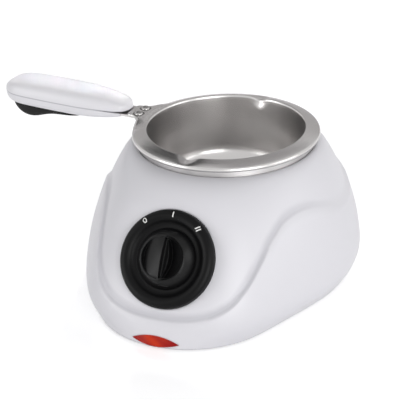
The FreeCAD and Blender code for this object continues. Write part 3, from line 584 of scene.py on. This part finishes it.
# %% Build the knob
KNOB_ROWS = 64
MERGE = 2e-6
mesh = bmesh.new()
rows = []
for i in range(KNOB_ROWS + 1):
    y = KNOB_R * math.sin(math.pi * (i / KNOB_ROWS - 0.5))
    top = ridge_height(y)
    points = left_half(y, top) + right_half(y, top)
    points = [(points[0][0], KNOB_LOW)] + points + [(points[-1][0], KNOB_LOW)]
    rows.append([mesh.verts.new(on_dial(x, y, z)) for x, z in points])
for low, high in zip(rows, rows[1:]):
    for k in range(len(low) - 1):
        mesh.faces.new((low[k], low[k + 1], high[k + 1], high[k]))
    mesh.faces.new((low[-1], low[0], high[0], high[-1]))
bmesh.ops.remove_doubles(mesh, verts=mesh.verts, dist=MERGE)
bmesh.ops.dissolve_degenerate(mesh, edges=mesh.edges, dist=MERGE)
bmesh.ops.recalc_face_normals(mesh, faces=mesh.faces)
soften(mesh, 40)
open_edges = sum(1 for edge in mesh.edges if len(edge.link_faces) != 2)
knob_black = moulded("black ABS, knob, lightly polished by fingers", "0B0B0C", 0.34, 0.5, 0.02, 0.35,
                     Specular_IOR_Level=0.2)
knob = new_piece("finger_knob", mesh, "knob", knob_black)
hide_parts("control_knob")
print("knob:", len(knob.data.polygons), "faces,", open_edges, "open edges")

# %% [markdown]
# ## Printed dial positions
# The dial has its three positions, 0, I and II, printed in white near its edge. They could be
# painted in the material or made as text. Here each stroke is a thin strip of mesh just above the
# curved face, so the print stays sharp. A stroke is described on flat paper, then wrapped onto the
# face by the arcs that the dial was turned by.

# %% The dial's face
RING_R, RING_H = 26.4, 6.4           # crest of the ring that carries the print
DISH_R, DISH_H = 19.4, 3.6
EDGE_R, EDGE_H = 30.1, 3.8
PRINT_LIFT = 0.06


def face_height(r):
    """Height of the dial's face above its seat at radius r, near the crest of the ring."""
    if r < RING_R:
        bend = ((RING_R - DISH_R) ** 2 + (RING_H - DISH_H) ** 2) / (4 * (RING_H - DISH_H))
        return RING_H - bend + math.sqrt(bend ** 2 - (RING_R - r) ** 2)
    bend = ((EDGE_R - RING_R) ** 2 + (RING_H - EDGE_H) ** 2) / (2 * (RING_H - EDGE_H))
    return RING_H - bend + math.sqrt(bend ** 2 - (r - RING_R) ** 2)


def on_face(u, v, angle, lean=0.0):
    """Point of a mark, u across and v outwards from the marks' circle, leaning by an angle."""
    u, v = u * math.cos(lean) + v * math.sin(lean), v * math.cos(lean) - u * math.sin(lean)
    x = u * math.cos(angle) + (MARK_R + v) * math.sin(angle)
    y = -u * math.sin(angle) + (MARK_R + v) * math.cos(angle)
    return on_dial(x, y, face_height(math.hypot(x, y)) + PRINT_LIFT)


print("the face is", round(face_height(27.0), 2), "mm above its seat under the print")

# %% The marks
MARK_R = 27.0
MARK_HALF = 1.7              # half of a mark's height
STROKE = 0.75
ZERO_HALF = 1.3
MARK_TURN = math.radians(40) # from one position to the next
TWO_GAP, TWO_LEAN = 0.8, math.radians(18)    # half the gap of the II, which leans
STEPS, ZERO_STEPS = 6, 32


def bar(mesh, u, angle, lean=0.0):
    """One stroke, upright or leaning."""
    rows = []
    for i in range(STEPS + 1):
        v = MARK_HALF * (2 * i / STEPS - 1)
        rows.append([mesh.verts.new(on_face(u + side * STROKE / 2, v, angle, lean)) for side in (-1, 1)])
    for low, high in zip(rows, rows[1:]):
        mesh.faces.new((low[0], low[1], high[1], high[0]))


def zero(mesh, angle):
    """An upright oval ring."""
    rows = []
    for i in range(ZERO_STEPS):
        t = 2 * math.pi * i / ZERO_STEPS
        pair = [(ZERO_HALF - k, MARK_HALF - k) for k in (0, STROKE * 0.8)]
        rows.append([mesh.verts.new(on_face(a * math.cos(t), b * math.sin(t), angle)) for a, b in pair])
    for low, high in zip(rows, rows[1:] + rows[:1]):
        mesh.faces.new((low[0], high[0], high[1], low[1]))


ink, tree, shader = new_material("white pad-printing ink", "F2F2F0", Roughness=0.55)
place = add(tree, "TexCoord").outputs["Object"]
speck = add(tree, "TexNoise", {"Scale": 1000 / 0.4, "Detail": 1.0, "Vector": place})
shade = add(tree, "Mix", {"A": linear("E4E4E2"), "B": linear("F8F8F6"), "Factor": speck}, data_type="RGBA")
plug(tree, shader, {"Base Color": shade.outputs["Result"]})
marks = bmesh.new()
zero(marks, -MARK_TURN)
bar(marks, 0, 0)
for u in (-TWO_GAP, TWO_GAP):
    bar(marks, u, MARK_TURN, TWO_LEAN)
dial_marks = new_piece("dial_marks", marks, "stand", ink)
print("marks:", len(dial_marks.data.polygons), "faces")

# %% [markdown]
# ## Steel
# Pressed and spun stainless steel keeps fine lines that run round the piece, because it was
# polished while it turned. The lines are noise on polar coordinates: fine across, very long
# around. They tilt the surface a little and change its roughness, which stretches highlights
# across the lines, as on the real rim.

# %% Turned metal
LINE_TURN = 1.4              # the lines' noise changes this little with each radian round the axis
CLOUD_MM = 18                # size of the faint clouds that handling leaves
SPUN_CHANGE = 0.012          # more than this looks like scratches on the inner wall


def polar(tree):
    """Coordinates round the pot's axis: distance, height and turn."""
    place = add(tree, "TexCoord").outputs["Object"]
    axes = add(tree, "SeparateXYZ", {0: place})
    flat = add(tree, "CombineXYZ", {"X": axes.outputs["X"], "Y": axes.outputs["Y"]})
    out = add(tree, "VectorMath", {0: flat}, operation="LENGTH")
    turn = add(tree, "Math", {0: axes.outputs["Y"], 1: axes.outputs["X"]}, operation="ARCTAN2")
    return out.outputs["Value"], axes.outputs["Z"], turn


def spun(name, hex_colour, roughness, line_mm, depth, **sockets):
    """Steel polished while it turned round the pot's axis; line_mm is the lines' spacing."""
    material, tree, shader = new_material(name, hex_colour, Metallic=1.0, **sockets)
    out, height, turn = polar(tree)
    a = add(tree, "Math", {0: out, 1: 1000 / line_mm}, operation="MULTIPLY")
    b = add(tree, "Math", {0: height, 1: 1000 / line_mm}, operation="MULTIPLY")
    c = add(tree, "Math", {0: turn, 1: LINE_TURN}, operation="MULTIPLY")
    along = add(tree, "CombineXYZ", {"X": a, "Y": b, "Z": c})
    lines = add(tree, "TexNoise", {"Scale": 1.0, "Detail": 3.0, "Roughness": 0.6, "Vector": along})
    place = add(tree, "TexCoord").outputs["Object"]
    cloud = add(tree, "TexNoise", {"Scale": 1000 / CLOUD_MM, "Detail": 2.0, "Vector": place})
    both = add(tree, "Math", {0: lines, 1: cloud}, operation="ADD")
    tone = add(tree, "MapRange", {"Value": both, "From Min": 0.6, "From Max": 1.4,
                                  "To Min": roughness - SPUN_CHANGE, "To Max": roughness + SPUN_CHANGE})
    edge = add(tree, "Bevel", {"Radius": 0.4 * MM}, samples=4)
    bump = add(tree, "Bump", {"Strength": 0.25, "Distance": depth * MM, "Height": lines, "Normal": edge})
    plug(tree, shader, {"Roughness": tone, "Normal": bump})
    return material


# %% Brushed sheet
def brushed(name, hex_colour, roughness, line_mm, depth, **sockets):
    """Sheet brushed along X; line_mm is the lines' spacing."""
    material, tree, shader = new_material(name, hex_colour, Metallic=1.0, **sockets)
    place = add(tree, "TexCoord").outputs["Object"]
    along = add(tree, "Mapping", {"Scale": (1000 / 25, 1000 / line_mm, 1000 / line_mm), "Vector": place})
    lines = add(tree, "TexNoise", {"Scale": 1.0, "Detail": 3.0, "Vector": along})
    tone = add(tree, "MapRange", {"To Min": roughness - 0.08, "To Max": roughness + 0.10, "Value": lines})
    bump = add(tree, "Bump", {"Strength": 0.4, "Distance": depth * MM, "Height": lines})
    plug(tree, shader, {"Roughness": tone, "Normal": bump})
    return material


# %% [markdown]
# Each metal piece gets the finish that its making leaves: lines round drawn and spun pieces,
# straight lines on strip and plated sheet, and the dark tone of heat on the element's ring.

# %% Metal pieces
pot_steel = spun("stainless steel, spun and polished", "C6C4C3", 0.26, 0.7, 0.003)
skin("well_liner", "well_drawn", spun("stainless steel, deep drawn", "B2B0B0", 0.38, 0.9, 0.004))
strip_steel = brushed("stainless steel strip, brushed", "BEBBBB", 0.3, 0.35, 0.006)
skin("handle_tang", "tang_strip", strip_steel)
finish(strip_steel, "fuse_strap")
finish(brushed("zinc-plated steel", "B4B5B0", 0.33, 0.5, 0.004), "liner_screws", "centre_screw",
       "handle_screws", "element_clamp", "thermal_fuse")
finish(spun("aluminium, faced on a lathe", "C8C9CA", 0.36, 0.6, 0.01), "heater_plate")
finish(spun("steel sheath, heat-darkened", "8A7862", 0.45, 1.2, 0.01), "heating_element")
finish(brushed("brass, turned", "B8975A", 0.3, 0.3, 0.004), "switch_nut")
print("metal pieces done")

# %% [markdown]
# ## The pot
# The pot is pressed from one steel sheet. Its flange falls gently outwards, its edge is turned
# down, two pouring lips are pressed into it and a tab runs out to the handle. The mesh is a grid:
# round the pot in one direction and along the sheet's profile in the other. The profile changes
# with the turn where the tab is, and the lips move its points, as a press moves sheet metal.

# %% Sizes of the pot
SHEET = 1.0
POT_FLOOR = 51.0             # underside
BASE_R, CORNER = 36.0, 11.0
MOUTH_R, MOUTH_Z = 50.4, 96.6
MOUTH_EDGE = [(0.85, 0.22), (0.4, 0.55), (0.12, 1.05), (0.0, 1.7)]   # rounding: outwards, down
RIM_R, RIM_DROP, RIM_EDGE = 60.0, 3.0, 2.0
EDGE_ROUND, TAB_ROUND = 1.7, 0.45    # rounding of the rim's edge and of the tab's
EDGE_LEAN = 0.4              # slope of the flange where it meets the rounded edge
FLANGE_CROWN = 0.25          # the flange bulges by this much
LIP_DEPTH, LIP_OUT = 2.6, 0.6
LIP_HALF = 7.0
LIP_TALL = 8.0               # the groove runs out this far down the wall
TAB_END, TAB_HALF, TAB_FLARE, TAB_CORNER = 68.0, 8.2, 7.0, 2.0
TAB_FADE = (12, 22)          # degrees past the flare, and over which the tab's level fades


def slope_z(r):
    """Height of the flange's top face."""
    return MOUTH_Z - RIM_DROP * (r - MOUTH_R) / (RIM_R - MOUTH_R)


def arc_points(cx, cz, radius, start, end, count):
    """Points on an arc, angles in degrees from the outward direction."""
    out = []
    for i in range(count + 1):
        t = math.radians(start + (end - start) * i / count)
        out.append((cx + radius * math.cos(t), cz + radius * math.sin(t)))
    return out


print("the flange falls from", MOUTH_Z, "to", slope_z(RIM_R), "mm")

# %% Outline of the flange and tab
def outer_reach(angle):
    """Distance from the pot's axis to the edge of flange or tab, and the tab's share there."""
    a = abs((angle + math.pi) % (2 * math.pi) - math.pi)
    # The flare is a circle that touches the rim and the side of the tab
    cy = TAB_HALF + TAB_FLARE
    cx = math.sqrt((RIM_R + TAB_FLARE) ** 2 - cy ** 2)
    lean = math.atan2(cy, cx)
    share = smooth((lean + math.radians(TAB_FADE[0]) - a) / math.radians(TAB_FADE[1]))
    if a >= lean:
        return RIM_R, share
    side = TAB_HALF / math.sin(a) if a > 1e-6 else 1e9
    along = cx * math.cos(a) + cy * math.sin(a)
    off = along ** 2 - (cx ** 2 + cy ** 2 - TAB_FLARE ** 2)
    if side * math.cos(a) < cx and off > 0:
        return along - math.sqrt(off), share
    end = TAB_END / math.cos(a)
    reach = min(side, end)
    x, y = reach * math.cos(a), reach * math.sin(a)
    if x > TAB_END - TAB_CORNER and y > TAB_HALF - TAB_CORNER:
        dx, dy = TAB_END - TAB_CORNER, TAB_HALF - TAB_CORNER
        along = dx * math.cos(a) + dy * math.sin(a)
        reach = along + math.sqrt(along ** 2 - (dx ** 2 + dy ** 2 - TAB_CORNER ** 2))
    return reach, share


# %% Profile of the sheet
FLANGE_STEPS = 14
OUT_STEPS, IN_STEPS = 9, 13  # along the wall, outside and inside
LIP_R = MOUTH_R + 1.3        # where the flange's flat part starts
BLEND_R = 3.0                # the tab's level meets the flange over this width


def flange_top(r, reach, edge_z, share):
    """Height of the sheet's top face between the mouth and the edge."""
    t = (r - LIP_R) / (reach - LIP_R)
    flat = slope_z(LIP_R) + (edge_z - slope_z(LIP_R)) * t + FLANGE_CROWN * math.sin(math.pi * t) * (1 - share)
    level = MOUTH_Z - (MOUTH_Z - slope_z(LIP_R)) * (1 - smooth((r - LIP_R) / BLEND_R))
    return flat * (1 - share) + level * share


def sheet_profile(reach, share):
    """Closed run of points round the sheet, from the middle of the underside to the floor."""
    wall = BASE_R + CORNER
    inner_top = MOUTH_Z - MOUTH_EDGE[-1][1]
    low = POT_FLOOR + SHEET + CORNER
    edge_z = slope_z(RIM_R) + (MOUTH_Z - slope_z(RIM_R)) * share
    drop = RIM_EDGE * (1 - share) + SHEET * share
    pts = [(0.0, POT_FLOOR), (BASE_R * 0.5, POT_FLOOR)]
    pts += arc_points(BASE_R, low, CORNER + SHEET, -90, 0, 10)
    for i in range(1, OUT_STEPS):
        t = i / OUT_STEPS
        pts.append((wall + SHEET + (MOUTH_R - wall) * t, low + (slope_z(LIP_R) - SHEET - low) * t))
    for i in range(1, FLANGE_STEPS + 1):
        r = LIP_R + (reach - SHEET - LIP_R) * i / FLANGE_STEPS
        pts.append((r, flange_top(r, reach, edge_z, share) - SHEET))
    pts += [(reach - SHEET, edge_z - drop), (reach - SHEET * 0.5, edge_z - drop - 0.04), (reach, edge_z - drop)]
    lean = EDGE_LEAN * (1 - share)
    bend = EDGE_ROUND * (1 - share) + TAB_ROUND * share
    pts += arc_points(reach - bend, edge_z + (lean - math.sqrt(1 + lean ** 2)) * bend, bend, 0,
                      90 - math.degrees(math.atan(lean)), 8)
    start = pts[-1][0]
    for i in range(1, FLANGE_STEPS + 1):
        r = start + (LIP_R - start) * i / FLANGE_STEPS
        pts.append((r, flange_top(r, reach, edge_z, share)))
    pts += [(MOUTH_R + out, MOUTH_Z - down) for out, down in MOUTH_EDGE]
    for i in range(1, IN_STEPS):
        t = i / IN_STEPS
        pts.append((MOUTH_R + (wall - MOUTH_R) * t, inner_top + (low - inner_top) * t))
    pts += arc_points(BASE_R, low, CORNER, 0, -90, 10)
    pts += [(BASE_R * 0.5, POT_FLOOR + SHEET), (0.0, POT_FLOOR + SHEET)]
    return pts


print("points in the profile:", len(sheet_profile(RIM_R, 0.0)))

# %% [markdown]
# A pouring lip is a groove that the press pushes down and a little outwards, deepest at the mouth.
# Two bell curves added together give its round bottom and its wide soft shoulders.

# %% Pressing of the lips
LIP_ZONE = 0.6               # radians either side of a lip that it can move
LIP_KEEP = 0.6               # this much of the rim's edge stays round
SHOULDER, BOTTOM = (0.55, 1.0, 1.6), (0.45, 0.55, 1.2)   # share, width and steepness of the bells


def bell(across, share, width, steep):
    return share * math.exp(-(across / (LIP_HALF * width)) ** 2 * steep)


def pressed(r, z, angle):
    """Moves a point of the sheet by the two pouring lips."""
    for side in (-1, 1):
        turn = (angle - side * math.pi / 2 + math.pi) % (2 * math.pi) - math.pi
        if abs(turn) > LIP_ZONE or z < MOUTH_Z - LIP_TALL:
            continue
        across = r * math.sin(turn)
        fade = smooth((z - MOUTH_Z + LIP_TALL) / (LIP_TALL - 1))
        if r > MOUTH_R - 0.1:
            fade *= min(max((RIM_R - LIP_KEEP - r) / (RIM_R - LIP_KEEP - MOUTH_R), 0.0), 1.0)
        form = (bell(across, *SHOULDER) + bell(across, *BOTTOM)) * fade
        z -= LIP_DEPTH * form
        r += LIP_OUT * form
    return r, z


print("lips", LIP_DEPTH, "mm deep and about", 2 * LIP_HALF, "mm wide")

# %% Build the pot
TAB_HALF_TURN, LIP_HALF_TURN = 25.9, 16      # degrees either side that get finer steps
TAB_STEP, LIP_STEP, PLAIN_STEP = 0.25, 0.75, 1.5


def ring_angles():
    """Turns round the pot, close together at the tab and at the lips."""
    out = []
    a = -180.0
    while a < 180 - 1e-6:
        out.append(math.radians(a))
        if abs(a) < TAB_HALF_TURN:
            a += TAB_STEP
        elif abs(abs(a) - 90) < LIP_HALF_TURN:
            a += LIP_STEP
        else:
            a += PLAIN_STEP
    return out


def build_pot():
    mesh = bmesh.new()
    columns = []
    for angle in ring_angles():
        reach, share = outer_reach(angle)
        column = []
        for r, z in sheet_profile(reach, share):
            r, z = pressed(r, z, angle)
            a = angle + HANDLE_TURN
            column.append(mesh.verts.new((r * math.cos(a) * MM, r * math.sin(a) * MM, z * MM)))
        columns.append(column)
    for here, ahead in zip(columns, columns[1:] + columns[:1]):
        for i in range(len(here) - 1):
            mesh.faces.new((here[i], ahead[i], ahead[i + 1], here[i + 1]))
    bmesh.ops.remove_doubles(mesh, verts=mesh.verts, dist=1e-7)
    bmesh.ops.dissolve_degenerate(mesh, edges=mesh.edges, dist=1e-8)
    bmesh.ops.recalc_face_normals(mesh, faces=mesh.faces)
    for face in mesh.faces:
        face.smooth = True
    return mesh


pot = new_piece("pot_pressed", build_pot(), "pot_unit", pot_steel)
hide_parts("pot")
print("pot:", len(pot.data.polygons), "faces")

# %% [markdown]
# The corner under a rivet's head gets little light, so a painted shade darkens the steel there: a
# ring less than a millimetre wide, drawn by the distance from each rivet.

# %% Painted shade under the rivet heads
RIVET_X, RIVET_Y, RIVET_HEAD = 60.6, 4.6, 3.0
RING_START, RING_END = (RIVET_HEAD + 0.2) * MM, (RIVET_HEAD + 1.1) * MM
c, s = math.cos(HANDLE_TURN), math.sin(HANDLE_TURN)
rivet_spots = [(RIVET_X * c - y * s, RIVET_X * s + y * c, MOUTH_Z) for y in (-RIVET_Y, RIVET_Y)]
tree = pot_steel.node_tree
shader = tree.nodes["Principled BSDF"]
place = add(tree, "TexCoord").outputs["Object"]
rings = []
for spot in rivet_spots:
    off = add(tree, "VectorMath", {0: place, 1: Vector(spot) * MM}, operation="DISTANCE")
    fade = {"Value": off.outputs["Value"], "From Min": RING_END, "From Max": RING_START}
    rings.append(add(tree, "MapRange", fade))
# Painted shade: the steel's colour darkens to 3E3C3B in a ring round each head, where it meets the tab.
rivet_shade = add(tree, "Math", {0: rings[0], 1: rings[1]}, operation="MAXIMUM")
base = shader.inputs["Base Color"].default_value[:]
shade = add(tree, "Mix", {"A": base, "B": linear("3E3C3B"), "Factor": rivet_shade}, data_type="RGBA")
plug(tree, shader, {"Base Color": shade.outputs["Result"]})
print("rings round", len(rivet_spots), "rivets")

# %% [markdown]
# ## Rivets and screws
# Two dome-headed rivets hold the tab to the handle's strip, and four cross-recessed screws hold
# the cover. Each kind is a small Geometry Nodes tree: it builds one fastener from its sizes, puts a
# copy on every point of a point mesh, makes the copies real and gives them their finish.

# %% Geometry Nodes helpers
def new_tree(name, sizes):
    """Node group with a geometry input, named sizes and a material."""
    tree = bpy.data.node_groups.new(name, "GeometryNodeTree")
    tree.interface.new_socket("Geometry", in_out="INPUT", socket_type="NodeSocketGeometry")
    for size, value in sizes.items():
        socket = tree.interface.new_socket(size, in_out="INPUT", socket_type="NodeSocketFloat")
        socket.default_value = value
    tree.interface.new_socket("Material", in_out="INPUT", socket_type="NodeSocketMaterial")
    tree.interface.new_socket("Geometry", in_out="OUTPUT", socket_type="NodeSocketGeometry")
    return tree, add(tree, "NodeGroupInput").outputs, add(tree, "NodeGroupOutput")


def place_on_points(tree, given, end, one):
    """Copies of one fastener on the given points, made real, with the given material."""
    copies = add(tree, "GeometryNodeInstanceOnPoints", {"Points": given["Geometry"], "Instance": one})
    real = add(tree, "GeometryNodeRealizeInstances", {"Geometry": copies})
    shaded = add(tree, "GeometryNodeSetMaterial", {"Geometry": real, "Material": given["Material"]})
    plug(tree, end, {0: shaded})


def grown(name, tree, points, material, body, smooth_faces=True):
    """Runs a tree on a set of points and keeps the result as a plain piece."""
    carrier = new_object(name, bpy.data.meshes.new(name))
    carrier.data.from_pydata([Vector(p) * MM for p in points], [], [])
    modifier = carrier.modifiers.new("grow", "NODES")
    modifier.node_group = tree
    sockets = {item.name: item.identifier for item in tree.interface.items_tree if item.in_out == "INPUT"}
    modifier[sockets["Material"]] = material
    view = bpy.context.evaluated_depsgraph_get()
    data = bpy.data.meshes.new_from_object(carrier.evaluated_get(view))
    carrier.modifiers.clear()
    carrier.data = data
    for face in data.polygons:
        face.use_smooth = smooth_faces
    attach(carrier, body)
    return carrier


# %% Rivets
TAIL_SHARE = (0.85, 0.85, 0.55)      # the closed tail is narrower and flatter than the head


def rivet_tree():
    tree, given, end = new_tree("dome rivet", {"Head radius": 0.003, "Head height": 0.0016, "Grip": 0.0025})
    ball = add(tree, "GeometryNodeMeshUVSphere", {"Segments": 40, "Rings": 24, "Radius": 1.0})
    wide, tall = given["Head radius"], given["Head height"]
    size = add(tree, "CombineXYZ", {"X": wide, "Y": wide, "Z": tall})
    head = add(tree, "GeometryNodeTransform", {"Geometry": ball, "Scale": size})
    low = add(tree, "Math", {0: given["Grip"], 1: -1.0}, operation="MULTIPLY")
    down = add(tree, "CombineXYZ", {"Z": low})
    flat = add(tree, "VectorMath", {0: size, 1: TAIL_SHARE}, operation="MULTIPLY")
    tail = add(tree, "GeometryNodeTransform", {"Geometry": ball, "Scale": flat, "Translation": down})
    whole = add(tree, "GeometryNodeJoinGeometry")
    for part in (head, tail):
        plug(tree, whole, {0: part})
    place_on_points(tree, given, end, whole)
    return tree


rivet_steel = spun("stainless steel, cold-headed", "A6A4A3", 0.18, 2.0, 0.002)
rivets = grown("rivets_domed", rivet_tree(), rivet_spots, rivet_steel, "pot_unit")
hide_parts("tang_rivets")
print("rivets:", len(rivets.data.polygons), "faces")

# %% [markdown]
# The cover's screws are pan heads. A tapered cone makes the head, two crossed bars are cut out of
# it, and a plain cylinder is the shank. The faces stay flat, so the recess keeps its sharp edges.

# %% Cover screws
RECESS_WIDE = 0.8 * MM
CROWN_SHARE = 0.8            # the head's face is this much narrower than its rim


def screw_tree():
    sizes = {"Head radius": 0.003, "Head height": 0.0013, "Shank radius": 0.0016, "Length": 0.010,
             "Recess": 0.0036}
    tree, given, end = new_tree("pan-head screw", sizes)
    wide, tall = given["Head radius"], given["Head height"]
    crown = add(tree, "Math", {0: wide, 1: CROWN_SHARE}, operation="MULTIPLY")
    cone = add(tree, "GeometryNodeMeshCone",
               {"Vertices": 40, "Radius Bottom": crown, "Radius Top": wide, "Depth": tall})
    low = add(tree, "Math", {0: tall, 1: -1.0}, operation="MULTIPLY")
    base = add(tree, "CombineXYZ", {"Z": low})
    head = add(tree, "GeometryNodeTransform", {"Geometry": cone, "Translation": base})
    cut = add(tree, "GeometryNodeMeshBoolean", {"Mesh 1": head}, operation="DIFFERENCE")
    for long_axis, wide_axis in (("X", "Y"), ("Y", "X")):
        size = add(tree, "CombineXYZ", {long_axis: given["Recess"], wide_axis: RECESS_WIDE, "Z": tall})
        block = add(tree, "GeometryNodeMeshCube", {"Size": size})
        arm = add(tree, "GeometryNodeTransform", {"Geometry": block, "Translation": base})
        plug(tree, cut, {"Mesh 2": arm})
    shank = add(tree, "GeometryNodeMeshCylinder",
                {"Vertices": 24, "Radius": given["Shank radius"], "Depth": given["Length"]})
    rise = add(tree, "Math", {0: given["Length"], 1: 0.5}, operation="MULTIPLY")
    up = add(tree, "CombineXYZ", {"Z": rise})
    shank = add(tree, "GeometryNodeTransform", {"Geometry": shank, "Translation": up})
    whole = add(tree, "GeometryNodeJoinGeometry")
    for part in (cut, shank):
        plug(tree, whole, {0: part})
    place_on_points(tree, given, end, whole)
    return tree


SCREW_SPOTS = [(52, -63, 2.3), (-52, -63, 2.3), (62, 28, 2.3), (-62, 28, 2.3)]
zinc = nodes["handle_screws"].data.materials[0]
screws = grown("cover_screws", screw_tree(), SCREW_SPOTS, zinc, "stand", smooth_faces=False)
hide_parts("base_screws")
print("screws:", len(screws.data.polygons), "faces")

# %% [markdown]
# ## The power lamp
# The lamp's window is clear red acrylic with a ribbed back that spreads the glow of the neon lamp
# behind it. The slanting ribs are waves in the bump and in the glow. Real ones are about a
# millimetre apart, too fine for the picture, so they are drawn 3.5 millimetres apart.

# %% Red lens and lamp
GLOW_NEAR, GLOW_FAR = 3 * MM, 13 * MM    # the glow fades between these distances from the lamp
RIB_SLANT = math.radians(60)
RIB_SHADE = 0.35             # share of the glow between two ribs
WAVE_TURN = 6.28             # the wave texture repeats after this much of its own scale
LAMP_MIDDLE = (-0.001, -0.119, 0.006)


def lit_acrylic(name, dim, glow, strength, rib_mm):
    """Clear colour lit from behind, brightest near the lamp and broken up by ribs."""
    material, tree, shader = new_material(name, dim, Roughness=0.12, IOR=1.49, Transmission_Weight=0.12,
                                          Specular_IOR_Level=0.1, Emission_Strength=strength)
    place = add(tree, "TexCoord").outputs["Object"]
    off = add(tree, "VectorMath", {0: place, 1: LAMP_MIDDLE}, operation="DISTANCE")
    near = add(tree, "MapRange", {"Value": off.outputs["Value"], "From Min": GLOW_FAR, "From Max": GLOW_NEAR},
               interpolation_type="SMOOTHSTEP")
    slant = add(tree, "Mapping", {"Rotation": (0, RIB_SLANT, 0), "Vector": place})
    ribs = add(tree, "TexWave", {"Scale": 1000 / rib_mm / WAVE_TURN, "Distortion": 1.5, "Vector": slant})
    ribbed = add(tree, "MapRange", {"To Min": RIB_SHADE, "To Max": 1.0, "Value": ribs.outputs["Fac"]})
    share = add(tree, "Math", {0: near, 1: ribbed}, operation="MULTIPLY")
    shade = add(tree, "Mix", {"A": linear(dim), "B": linear(glow), "Factor": share}, data_type="RGBA")
    bump = add(tree, "Bump", {"Strength": 0.3, "Distance": 0.0002, "Height": ribs.outputs["Fac"]})
    plug(tree, shader, {"Emission Color": shade.outputs["Result"], "Normal": bump})
    return material


skin("lamp_lens", "lamp_window", lit_acrylic("red acrylic, moulded and lit", "8A0D0C", "F0501A", 0.36, 3.5))
finish(lit_acrylic("lamp glass, glowing", "FFC090", "FF7020", 1.5, 2.0), "neon_lamp")
print("lamp done")
